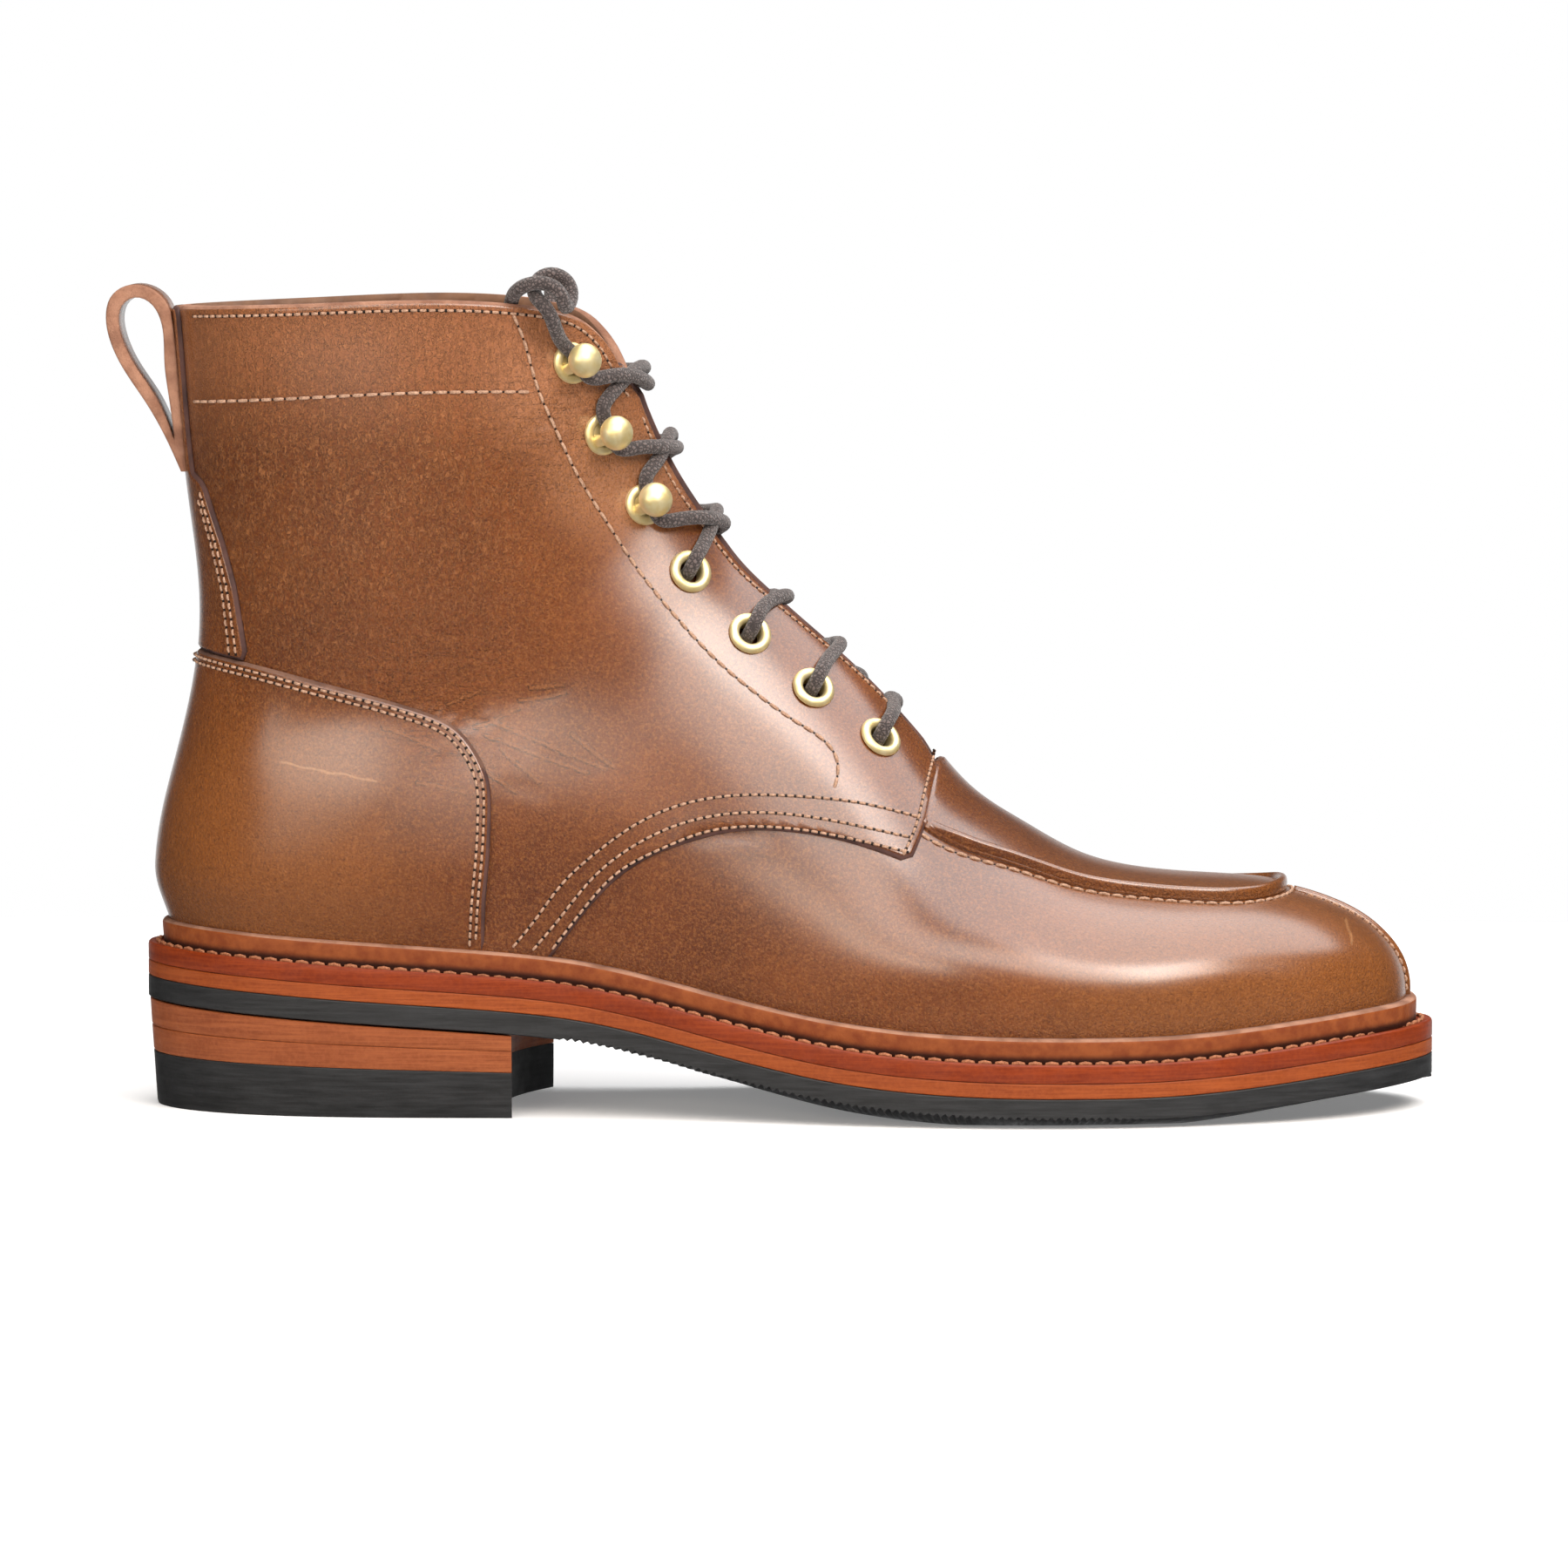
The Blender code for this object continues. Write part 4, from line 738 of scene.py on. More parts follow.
def lathe(profile, point, axis):
    """Points and faces of a profile of (radius, height) corners turned about an axis."""
    turn = np.array(Vector((0, 0, 1)).rotation_difference(Vector(axis)).to_matrix())
    points = []
    for k in range(ROUND_SEGMENTS):
        angle = 2 * math.pi * k / ROUND_SEGMENTS
        arms = [(r * math.cos(angle), r * math.sin(angle), h) for r, h in profile]
        points.append(np.asarray(point) + np.array(arms) @ turn.T)
    faces = wall_faces(ROUND_SEGMENTS, len(profile), closed=True)
    return np.concatenate(points), [[a, d, c, b] for a, b, c, d in faces]


def joined(shapes):
    """Points and faces of several shapes as one list."""
    points = []
    faces = []
    start = 0
    for shape_points, shape_faces in shapes:
        points.append(shape_points)
        faces += [[start + corner for corner in face] for face in shape_faces]
        start += len(shape_points)
    return np.concatenate(points), faces


def weld(item, distance=1e-6):
    bm = bmesh.new()
    bm.from_mesh(item.data)
    bmesh.ops.remove_doubles(bm, verts=bm.verts, dist=distance)
    bmesh.ops.dissolve_degenerate(bm, edges=bm.edges, dist=distance)
    bm.to_mesh(item.data)
    bm.free()
    return item


# Materials


def srgb(*levels):
    """A colour of 0 to 255 levels as linear values."""
    shares = [level / 255 for level in levels]
    return tuple(s / 12.92 if s <= 0.04045 else ((s + 0.055) / 1.055) ** 2.4 for s in shares)


# Multiplier that drops the depth of a place, so that it is met in the side view
SIDE_VIEW = 1.0, 0.0, 1.0
SPOT_CORE = 0.3

# Scale and reach in millimetres of the waver in fine lines, their core, and where the outer side starts
WAVER_SCALE = 130.0
WAVER = 2.0
LINE_CORE = 0.2
OUTER_SIDE = -0.004


class Nodes:
    """The node tree of a material or a world."""

    def __init__(self, owner):
        owner.use_nodes = True
        self.nodes = owner.node_tree.nodes
        self.links = owner.node_tree.links

    def node(self, kind, inputs=(), **settings):
        """A new node with its settings made, and each input wired to a socket or set to a value."""
        node = self.nodes.new("ShaderNode" + kind)
        for name, value in settings.items():
            setattr(node, name, value)
        for socket, source in inputs:
            if isinstance(source, bpy.types.NodeSocket):
                self.links.new(source, node.inputs[socket])
            else:
                node.inputs[socket].default_value = source
        return node


class Shader(Nodes):
    """A Principled material and short ways to wire its procedural nodes."""

    def __init__(self, name):
        self.material = bpy.data.materials.new(name)
        super().__init__(self.material)
        self.surface = self.nodes["Principled BSDF"]
        self.place = self.node("TexCoord").outputs["Object"]

    def set(self, **values):
        for name, value in values.items():
            self.surface.inputs[name.replace("_", " ")].default_value = value

    def mapped(self, scale):
        return self.node("Mapping", [("Vector", self.place), ("Scale", scale)]).outputs["Vector"]

    def noise(self, scale, detail=4.0, roughness=0.55, vector=None, distortion=0.0):
        inputs = [("Vector", vector or self.place), ("Scale", scale), ("Detail", detail)]
        inputs += [("Roughness", roughness), ("Distortion", distortion)]
        return self.node("TexNoise", inputs).outputs["Fac"]

    def cells(self, scale):
        inputs = [("Vector", self.place), ("Scale", scale)]
        return self.node("TexVoronoi", inputs, feature="DISTANCE_TO_EDGE").outputs["Distance"]

    def ramp(self, value, low, high, first=0.0, second=1.0):
        inputs = enumerate((value, low, high, first, second))
        return self.node("MapRange", inputs, interpolation_type="SMOOTHSTEP").outputs[0]

    def math(self, operation, a, b=0.0):
        return self.node("Math", enumerate((a, b)), operation=operation).outputs[0]

    def vector(self, operation, *inputs):
        node = self.node("VectorMath", enumerate(inputs), operation=operation)
        return node.outputs["Value" if operation in ("DISTANCE", "DOT_PRODUCT") else "Vector"]

    def axis(self, name):
        return self.node("SeparateXYZ", [(0, self.place)]).outputs[name]

    def blend(self, share, a, b):
        a, b = ((*colour, 1.0) if isinstance(colour, tuple) else colour for colour in (a, b))
        return self.node("Mix", [(0, share), (6, a), (7, b)], data_type="RGBA").outputs[2]

    def spot(self, centre, radius):
        """One at a place of the side view, on both sides of the boot, and nothing past a radius."""
        away = self.vector("DISTANCE", self.vector("MULTIPLY", self.place, SIDE_VIEW), centre)
        return self.ramp(away, radius, radius * SPOT_CORE)

    def shared(self, places, level=1.0):
        """A level around some places, the strongest of their spots."""
        total = 0.0
        for centre, radius in places:
            total = self.math("MAXIMUM", total, self.spot(centre, radius))
        return self.math("MULTIPLY", total, level)

    def fine_lines(self, lines, wide):
        """One along short wavering lines of the outer side, falling to nothing at a width."""
        waver = self.node("TexNoise", [("Vector", self.place), ("Scale", WAVER_SCALE)]).outputs["Color"]
        moved = self.vector("MULTIPLY_ADD", waver, Vector(SIDE_VIEW) * WAVER * MM, self.place)
        flat = self.vector("MULTIPLY", moved, SIDE_VIEW)
        total = 0.0
        for x0, z0, x1, z1 in lines:
            start = Vector((x0 + WAVER / 2, 0.0, z0 + WAVER / 2)) * MM
            run = Vector((x1 - x0, 0.0, z1 - z0)) * MM
            away = self.vector("SUBTRACT", flat, start)
            along = self.vector("DOT_PRODUCT", away, run / run.length_squared)
            share = self.math("MINIMUM", self.math("MAXIMUM", along, 0.0), 1.0)
            gap = self.vector("DISTANCE", away, self.vector("MULTIPLY", run, share))
            total = self.math("MAXIMUM", total, self.ramp(gap, wide * MM, wide * LINE_CORE * MM))
        return self.math("MULTIPLY", total, self.ramp(self.axis("Y"), 0.0, OUTER_SIDE))

    def bump(self, height, depth, strength=1.0, under=None):
        inputs = [("Strength", strength), ("Distance", depth * MM), ("Height", height)]
        if under:
            inputs.append(("Normal", under))
        return self.node("Bump", inputs).outputs["Normal"]

    def finish(self, colour=None, roughness=None, normal=None):
        for socket, source in (("Base Color", colour), ("Roughness", roughness), ("Normal", normal)):
            if source is not None:
                self.links.new(source, self.surface.inputs[socket])
        return self.material


# Places and radii in metres of the finely creased leather, of the painted highlight by the hooks, and of
# the golden leather
CREASED_PLACES = [
    ((-0.052, 0, 0.163), 0.026),
    ((-0.04, 0, 0.178), 0.018),
    ((-0.078, 0, 0.098), 0.03),
    ((-0.006, 0, 0.066), 0.014),
]
PAINTED_HIGHLIGHT_PLACES = [((-0.046, 0, 0.172), 0.026), ((-0.036, 0, 0.152), 0.024)]
GOLDEN_PLACES = [((0.125, 0, 0.03), 0.085), ((-0.12, 0, 0.06), 0.05)]
PEBBLED_SHAFT = (-0.115, 0, 0.172), 0.1

# Ends of the fine wrinkles around the counter's corner, and of the scuffs, in the side view
WRINKLES = [
    (-64.6, 93.2, -37.5, 82), (-66, 90, -42, 81), (-75, 97, -67.5, 100.3), (-68.3, 91.8, -57.9, 96.1),
    (-57.9, 97.9, -47.6, 99.5), (-55.4, 100.9, -48, 101.3), (-45.7, 90.1, -35.4, 82.4),
    (-62.2, 86.7, -53.5, 78.9), (-65.7, 81.6, -57.9, 76.5), (-90, 91.8, -77, 86.7),
    (-81.5, 78.6, -70, 77),
]
SCUFFS = [(-113.8, 83.2, -91.4, 79.5), (136, 44.8, 137.2, 40.1)]

# Heights in metres between which the leg is painted paler towards the collar, a painted highlight, and how
# far it pales
COLLAR_HIGHLIGHT_Z = 0.15, 0.184
COLLAR_HIGHLIGHT_SHARE = 0.45


def tan_leather():
    """Waxed full-grain leather: pebbled grain, creases, cloudy colour, painted highlights and a soft
    gloss.
    """
    shader = Shader("boot_tan_leather")
    cloud = shader.ramp(shader.noise(24, 5), 0.3, 0.72)
    colour = shader.blend(cloud, srgb(88, 41, 9), srgb(114, 57, 14))
    # Painted highlight: the eyestay by the hooks is lightened where it would catch the lamps' reflection
    colour = shader.blend(shader.shared(PAINTED_HIGHLIGHT_PLACES, 0.45), colour, srgb(186, 134, 98))
    colour = shader.blend(shader.shared(GOLDEN_PLACES, 0.4), colour, srgb(138, 82, 30))
    speck = shader.ramp(shader.noise(1500, 3, 0.7), 0.42, 0.68, 0.0, 0.6)
    colour = shader.blend(speck, colour, srgb(144, 86, 34))
    pits = shader.ramp(shader.noise(1700, 2, 0.6), 0.46, 0.3, 0.0, 0.5)
    colour = shader.blend(pits, colour, srgb(58, 25, 5))
    lines = shader.fine_lines(WRINKLES, 0.8)
    scuffs = shader.fine_lines(SCUFFS, 0.45)
    colour = shader.blend(shader.math("MULTIPLY", lines, 0.22), colour, srgb(160, 102, 56))
    colour = shader.blend(shader.math("MULTIPLY", scuffs, 0.35), colour, srgb(190, 140, 92))
    veins = shader.noise(760, 3, 0.55, shader.mapped((1, 1, 0.55)), 0.9)
    veins = shader.math("ABSOLUTE", shader.math("SUBTRACT", veins, 0.5))
    veins = shader.ramp(veins, 0.0, 0.07, 1.0, 0.0)
    shaft = shader.math("MULTIPLY", shader.spot(*PEBBLED_SHAFT), 0.85)
    grain = shader.math("MULTIPLY", veins, shader.math("ADD", shaft, 0.18))
    colour = shader.blend(shader.math("MULTIPLY", grain, 0.55), colour, srgb(166, 106, 58))
    # Painted highlight: the leg lightens towards the collar, where the leather leans up into the light
    fade = shader.ramp(shader.axis("Z"), *COLLAR_HIGHLIGHT_Z, 0.0, COLLAR_HIGHLIGHT_SHARE)
    colour = shader.blend(fade, colour, srgb(168, 108, 70))
    normal = shader.bump(grain, 0.3, 1.0)
    normal = shader.bump(lines, 0.6, 1.0, normal)
    level = shader.noise(300, 3, 0.6, shader.mapped((0.3, 0.3, 1.5)), 0.9)
    level = shader.math("MULTIPLY", shader.ramp(level, 0.42, 0.62), shader.shared(CREASED_PLACES))
    normal = shader.bump(level, 0.5, 0.8, normal)
    normal = shader.bump(shader.noise(55, 3), 0.35, 0.35, normal)
    normal = shader.bump(shader.noise(190, 4), 0.25, 0.45, normal)
    normal = shader.bump(shader.noise(900, 4, 0.75), 0.3, 0.9, normal)
    normal = shader.bump(shader.ramp(shader.cells(1000), 0.0, 0.25), 0.15, 0.9, normal)
    roughness = shader.ramp(shader.noise(110, 5), 0.3, 0.75, 0.36, 0.5)
    shader.set(Coat_Weight=1.0, Coat_Roughness=0.25, Coat_IOR=1.75, Specular_IOR_Level=0.1)
    return shader.finish(colour, roughness, normal)


def plain_leather(name, dark, light, rough, grain=700, depth=0.08):
    """Leather of one tone, mottled and finely grained."""
    shader = Shader(name)
    colour = shader.blend(shader.ramp(shader.noise(140, 6), 0.3, 0.7), dark, light)
    normal = shader.bump(shader.noise(grain, 4), depth, 0.7)
    roughness = shader.ramp(shader.noise(300, 4), 0.3, 0.7, rough - 0.08, rough + 0.08)
    return shader.finish(colour, roughness, normal)


def layered_leather(name, dark, light, rough):
    """The trimmed edge of sole leather: fine level streaks in a waxed brown."""
    shader = Shader(name)
    streaks = shader.noise(60, 6, 0.7, shader.mapped((1, 1, 26)))
    colour = shader.blend(shader.ramp(streaks, 0.3, 0.72), dark, light)
    cloud = shader.ramp(shader.noise(45, 4), 0.35, 0.7, 0.0, 0.5)
    colour = shader.blend(cloud, colour, dark)
    speck = shader.ramp(shader.noise(900, 3, 0.7), 0.4, 0.65, 0.0, 0.35)
    colour = shader.blend(speck, colour, light)
    normal = shader.bump(streaks, 0.08, 0.6)
    roughness = shader.ramp(shader.noise(200, 4), 0.3, 0.7, rough - 0.08, rough + 0.1)
    shader.set(Specular_IOR_Level=0.25)
    return shader.finish(colour, roughness, normal)


# Name of the lip's own measure: nought at its foot, one at its top
LIP_HEIGHT = "lip_height"


def lip_leather():
    """The welt's lip: orange leather, with painted shade that darkens it down into the groove at its foot.
    """
    shader = Shader("boot_welt_lip")
    mottle = shader.ramp(shader.noise(300, 5), 0.3, 0.7)
    colour = shader.blend(mottle, srgb(116, 52, 17), srgb(136, 70, 28))
    height = shader.node("Attribute", attribute_name=LIP_HEIGHT).outputs["Fac"]
    # Painted shade: the lip's foot darkens to near-black where the groove lies in shadow
    colour = shader.blend(shader.ramp(height, 0.4, 0.1), colour, srgb(46, 19, 9))
    normal = shader.bump(shader.noise(700, 4), 0.2, 0.8)
    shader.set(Roughness=0.5, Specular_IOR_Level=0.25)
    return shader.finish(colour, None, normal)


def charcoal_rubber():
    shader = Shader("boot_rubber")
    streaks = shader.noise(70, 6, 0.7, shader.mapped((1, 1, 18)))
    colour = shader.blend(shader.ramp(streaks, 0.25, 0.8), srgb(26, 27, 28), srgb(48, 49, 51))
    normal = shader.bump(shader.noise(1400, 3), 0.05, 0.6)
    roughness = shader.ramp(shader.noise(160, 4), 0.3, 0.7, 0.5, 0.66)
    return shader.finish(colour, roughness, normal)


def brass():
    shader = Shader("boot_brass")
    worn = shader.ramp(shader.noise(420, 5), 0.3, 0.75)
    colour = shader.blend(worn, srgb(240, 218, 152), srgb(252, 238, 192))
    normal = shader.bump(shader.noise(900, 3), 0.02, 0.4)
    roughness = shader.ramp(shader.noise(350, 4), 0.3, 0.7, 0.36, 0.48)
    shader.set(Metallic=0.75)
    return shader.finish(colour, roughness, normal)


def waxed_cord():
    """A dark woven round lace with a dusty nap."""
    shader = Shader("boot_lace")
    weave = shader.cells(1150)
    colour = shader.blend(shader.ramp(weave, 0.02, 0.3), srgb(46, 38, 37), srgb(98, 85, 82))
    normal = shader.bump(shader.ramp(weave, 0.0, 0.35), 0.25, 0.8)
    normal = shader.bump(shader.noise(3200, 2), 0.08, 0.6, normal)
    shader.set(Roughness=0.82, Sheen_Weight=0.25, Sheen_Roughness=0.5)
    return shader.finish(colour, None, normal)


def thread(name, dark, light):
    shader = Shader(name)
    twist = shader.noise(2400, 3)
    colour = shader.blend(shader.ramp(twist, 0.3, 0.7), dark, light)
    normal = shader.bump(twist, 0.05, 0.7)
    shader.set(Roughness=0.75)
    return shader.finish(colour, None, normal)


LEATHER = tan_leather()
# Cut edges: a dark raw edge; a pale one, the fuzzy edge's own tone on the pull loop but partly painted
# light on the upward-facing collar and lip edges; and a dimmer copy, partly painted light, for the
# counter's upward edges
RAW_EDGE = plain_leather("boot_raw_edge", srgb(60, 36, 32), srgb(88, 56, 48), 0.8, 1200, 0.2)
PALE_EDGE_AND_LIGHT = plain_leather("boot_pale_edge_and_light", srgb(124, 84, 64), srgb(166, 122, 98), 0.9, 1300, 0.35)
DIM_EDGE_AND_LIGHT = plain_leather("boot_dim_edge_and_light", srgb(88, 60, 48), srgb(124, 90, 72), 0.9, 1300, 0.35)
# Lining leather, darkened as painted shade for the dim inside of the shaft; it backs the panels and covers
# the insole
LINING_AND_SHADE = plain_leather("boot_lining_and_shade", srgb(92, 60, 40), srgb(116, 80, 54), 0.7)
LIP = lip_leather()
WELT = layered_leather("boot_welt", srgb(104, 34, 7), srgb(140, 56, 16), 0.42)
MIDSOLE_EDGE = layered_leather("boot_midsole", srgb(120, 50, 13), srgb(152, 74, 28), 0.48)
LIFTS = layered_leather("boot_heel_lift", srgb(122, 58, 26), srgb(156, 86, 46), 0.5)
RUBBER = charcoal_rubber()
BRASS = brass()
CORD = waxed_cord()
THREAD = thread("boot_thread", srgb(136, 102, 80), srgb(190, 152, 126))
WELT_THREAD = thread("boot_welt_thread", srgb(134, 80, 50), srgb(178, 116, 80))
# Near-black discs at the needle holes: painted shade for the dark insides of the holes
HOLE_SHADE = plain_leather("boot_needle_hole_shade", srgb(20, 10, 6), srgb(34, 18, 11), 0.9)


# The upper's panels

X, Y, Z = np.moveaxis(MAIN_GRID.points, 2, 0)
ROW = np.broadcast_to(MAIN_GRID.rows[:, None], X.shape)
MIDDLE = CURVES["middle"](ROW)
ROW_LENGTH = 14.0
THROAT_DEEP = 30.0
OUTSIDE = -20.0


def throat_half(row):
    share = (row - THROAT_START) / (LAST_ROW - 0.1 - THROAT_START)
    return THROAT_HALF_LOW + (THROAT_HALF_HIGH - THROAT_HALF_LOW) * share


def quarter_polygon():
    front = smooth_route(QUARTER_EDGE[:5], 1.0)
    lower = smooth_route(QUARTER_EDGE[4:], 1.0)[1:]
    return [*front, *lower, (-58.0, 28.0), (BEHIND, 20.0), (BEHIND, ABOVE), (AHEAD, ABOVE)]


def counter_polygon():
    return [*smooth_route(COUNTER_EDGE, 1.0), (-67.0, 20.0), (BEHIND, 20.0)]


def collar_polygon():
    edge = smooth_route(COLLAR[1:-1], 1.0)
    return [COLLAR[0], *edge, COLLAR[-1], (COLLAR[-1][0], ABOVE), (BEHIND, ABOVE)]


def apron_edges(back, samples):
    """The apron's outer and inner edge seen from above, ahead of a place under the quarters."""
    return [line[line[:, 0] > back] for line in closed_outline(APRON_LOOP, samples)]


# Main creases of the leather as routes of the side view, each with its depth and half-width
CREASES = [
    ([(-84.6, 97.8), (-79.5, 97.4), (-74.3, 96.2)], 0.35, 1.2),
    ([(-80.3, 95.0), (-73.0, 94.8), (-66.4, 94.0)], 0.35, 1.2),
    ([(-73.0, 92.6), (-69.0, 92.2), (-65.2, 91.4)], 0.35, 1.2),
    ([(-60.3, 98.0), (-53.0, 98.6), (-46.4, 100.0)], 0.08, 1.3),
    ([(-68.8, 90.0), (-62.0, 87.8), (-55.5, 84.6)], 0.14, 1.4),
    ([(-51.8, 86.8), (-45.0, 84.2), (-37.3, 82.4)], 0.08, 1.4),
    ([(-61.5, 79.0), (-56.5, 77.4), (-51.8, 75.2)], 0.12, 1.6),
    ([(-76.0, 84.5), (-72.0, 83.0), (-68.8, 81.0)], 0.14, 1.4),
    ([(-52.5, 165.0), (-46.5, 166.5), (-39.5, 167.0)], 0.4, 1.3),
    ([(-57.0, 162.1), (-50.0, 162.9), (-43.4, 162.5)], 0.45, 1.3),
    ([(-50.5, 159.2), (-47.0, 159.7), (-43.4, 159.4)], 0.4, 1.2),
    ([(-56.5, 156.6), (-51.0, 157.2), (-45.0, 156.4)], 0.4, 1.3),
    ([(-62.0, 152.2), (-55.0, 153.4), (-49.0, 152.6)], 0.35, 1.4),
    ([(-18.0, 66.4), (-8.0, 66.8), (0.0, 65.6)], 0.35, 1.5),
]


def crease_depths():
    """How far each place of the grid sinks into the creases, which fade out at their ends."""
    depths = np.zeros(X.shape)
    for route, depth, wide in CREASES:
        line = smooth_route(route, 0.5)
        fade = np.sin(np.linspace(0, math.pi, len(line))) ** 0.6
        for (x, z), strength in zip(line, fade):
            away = ((X - x) ** 2 + (Z - z) ** 2) / wide**2
            depths = np.maximum(depths, depth * strength * np.exp(-away))
    return depths


MAIN_GRID.points[:] -= crease_depths()[..., None] * MAIN_GRID.normals


def rounded(a, b, radius):
    """The region inside two fields at once, with its corner rounded."""
    corner = radius - np.hypot(np.minimum(a - radius, 0), np.minimum(b - radius, 0))
    return np.minimum(np.minimum(a, b), corner)


QUARTER_FIELD = signed_distance(quarter_polygon(), X, Z)
COLLAR_FIELD = -signed_distance(collar_polygon(), X, Z)
SEAT_FIELD = Z - seat(X)
THROAT_FIELD = np.maximum(np.abs(Y - MIDDLE) - throat_half(ROW), (THROAT_START - ROW) * ROW_LENGTH)
THROAT_FIELD = np.where(X > CURVES["top_x"](ROW) - THROAT_DEEP, THROAT_FIELD, FAR)


def eyelet_places():
    """Each eyelet and hook: its kind, name, place on the quarter and normal."""
    places = []
    for kind, table in (("eyelet", EYELETS), ("hook", HOOKS)):
        for side, _ in SIDES:
            for number, place in enumerate(table, 1):
                point, normal = surface_at(*place, side)
                places.append((kind, f"{kind}_{side}_{number}", point + normal * QUARTER_STEP, normal))
    return places


PLACES = eyelet_places()
HOLE_FIELD = np.full(X.shape, np.inf)
for kind, _, point, _ in PLACES:
    if kind == "eyelet":
        away = np.linalg.norm(MAIN_GRID.points - point, axis=2)
        HOLE_FIELD = np.minimum(HOLE_FIELD, away - HOLE_RADIUS)

VAMP_LAP = 7.0
FACING_CORNER = 7.0
COLLAR_EDGE_FROM = 172.0
LEATHERS = [LEATHER, RAW_EDGE, LINING_AND_SHADE]


def lowest(*fields):
    return np.minimum.reduce(fields)


def edge_kinds(item, chosen):
    """Give the chosen parts of a panel's cut edge its last material."""
    for polygon in item.data.polygons:
        if polygon.material_index == 1 and chosen(polygon):
            polygon.material_index = len(item.data.materials) - 1


def make_uppers():
    """The vamp, and the quarters that lie on it."""
    field = lowest(VAMP_LAP - QUARTER_FIELD, SEAT_FIELD, THROAT_FIELD)
    vamp = panel("boot_vamp", field, -WALL, edge_profile(0.0), LEATHERS)
    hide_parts("upper")
    front = rounded(QUARTER_FIELD, THROAT_FIELD, FACING_CORNER)
    leathers = [*LEATHERS, PALE_EDGE_AND_LIGHT]
    for side, sign in SIDES:
        field = lowest(front, SEAT_FIELD, COLLAR_FIELD, HOLE_FIELD, sign * Y)
        quarter = panel(f"boot_quarter_{side}", field, -WALL, edge_profile(QUARTER_STEP), leathers)
        # Painted light: the collar's upward-facing cut edge takes the pale edge
        edge_kinds(quarter, lambda polygon: polygon.center.z > COLLAR_EDGE_FROM * MM)


def backstay_half(z):
    return np.interp(z, column(BACKSTAY_ROWS, "z"), column(BACKSTAY_ROWS, "half"))


COUNTER_THIN = 1.3
COUNTER_THIN_RUN = 9.0
COUNTER_BULGE = 1.8
BULGE_Z = 53.0
BULGE_SPREAD = 16.0
BULGE_OVER_LIP = 0.0, 13.0
OVERLAY_TOP = QUARTER_STEP + SEAT_GAP + OVERLAY
UPWARD = 0.4
BACKSTAY_AHEAD = -95.0
BACKSTAY_GAP = 0.2
BACKSTAY_TOP = OVERLAY_TOP - 0.2


def counter_lift(points):
    """The counter's swell over the heel, thinned to nothing behind the welt's lip."""
    over = points[:, 2] - lip_top(points[:, 0])
    foot = COUNTER_THIN * np.clip(1 - over / COUNTER_THIN_RUN, 0, 1) ** 2
    swell = COUNTER_BULGE * bell(points[:, 2], BULGE_Z, BULGE_SPREAD)
    return swell * eased(over, BULGE_OVER_LIP) - foot


def make_overlays():
    """The heel counter, and the backstay with its strip up to the collar."""
    inside = signed_distance(counter_polygon(), X, Z)
    field = lowest(inside, SEAT_FIELD)
    leathers = [*LEATHERS, DIM_EDGE_AND_LIGHT]
    counter = panel("boot_heel_counter", field, 0.0, edge_profile(OVERLAY_TOP), leathers, counter_lift)
    # Painted light: the counter's upward-facing edges take the dimmer lit copy
    edge_kinds(counter, lambda polygon: polygon.normal.z > UPWARD)
    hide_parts("heel_counter")
    width = np.where(X < BACKSTAY_AHEAD, backstay_half(Z) - np.abs(Y), OUTSIDE)
    field = lowest(width, -inside - BACKSTAY_GAP, COLLAR_FIELD)
    backstay = panel("boot_backstay", field, QUARTER_STEP, edge_profile(BACKSTAY_TOP), LEATHERS)
    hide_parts("backstay")


APRON_BACK = 34.0
APRON_RUN_BACK = 33.0
APRON_RUN_FROM = 20.0
APRON_ROWS_TO = 13
APRON_ABOVE = 35
APRON_LAP = 1.0
APRON_TOP = 1.4
TOE_SEAM_HALF = 1.5
TOE_SEAM_START = 0.5
SEAM_PROFILE = [(1.1, 1.0), (0.8, 0.95), (0.45, 0.75), (0.15, 0.4), (0.0, 0.1)]
RIM_HALF = 1.4
RIM_FOOT = -0.4
RIM_RISE = 3.4
RIM_SIDES = 14
RIM_FULLNESS = 0.8
RIM_TUCK = 10.0
RIM_TUCK_DEEP = 1.9


def smoothed(values, width):
    """Values along a run, each averaged with its neighbours."""
    ends = width // 2
    padded = np.concatenate([values[:1]] * ends + [values] + [values[-1:]] * ends)
    return sum(padded[k : k + len(values)] for k in range(width)) / width


def apron_run(outset):
    """Places and normals around the apron's outline, from one quarter's edge to the other's."""
    outer, inner = apron_edges(APRON_RUN_BACK, 300)
    plan = np.concatenate([outer, inner[-2::-1]])
    plan = even_steps(plan + outset * right_of(unit(np.gradient(plan, axis=0))), 0.6)

    def on_top(points, normals):
        return (normals[:, 2] > TURNED) & (points[:, 0] > APRON_RUN_FROM)

    places, normals = nearest_run(plan, (0, 1), on_top)
    shown = signed_distance(quarter_polygon(), places[:, 0], places[:, 2]) < 1.0
    return places[shown], smoothed(normals[shown], 9)


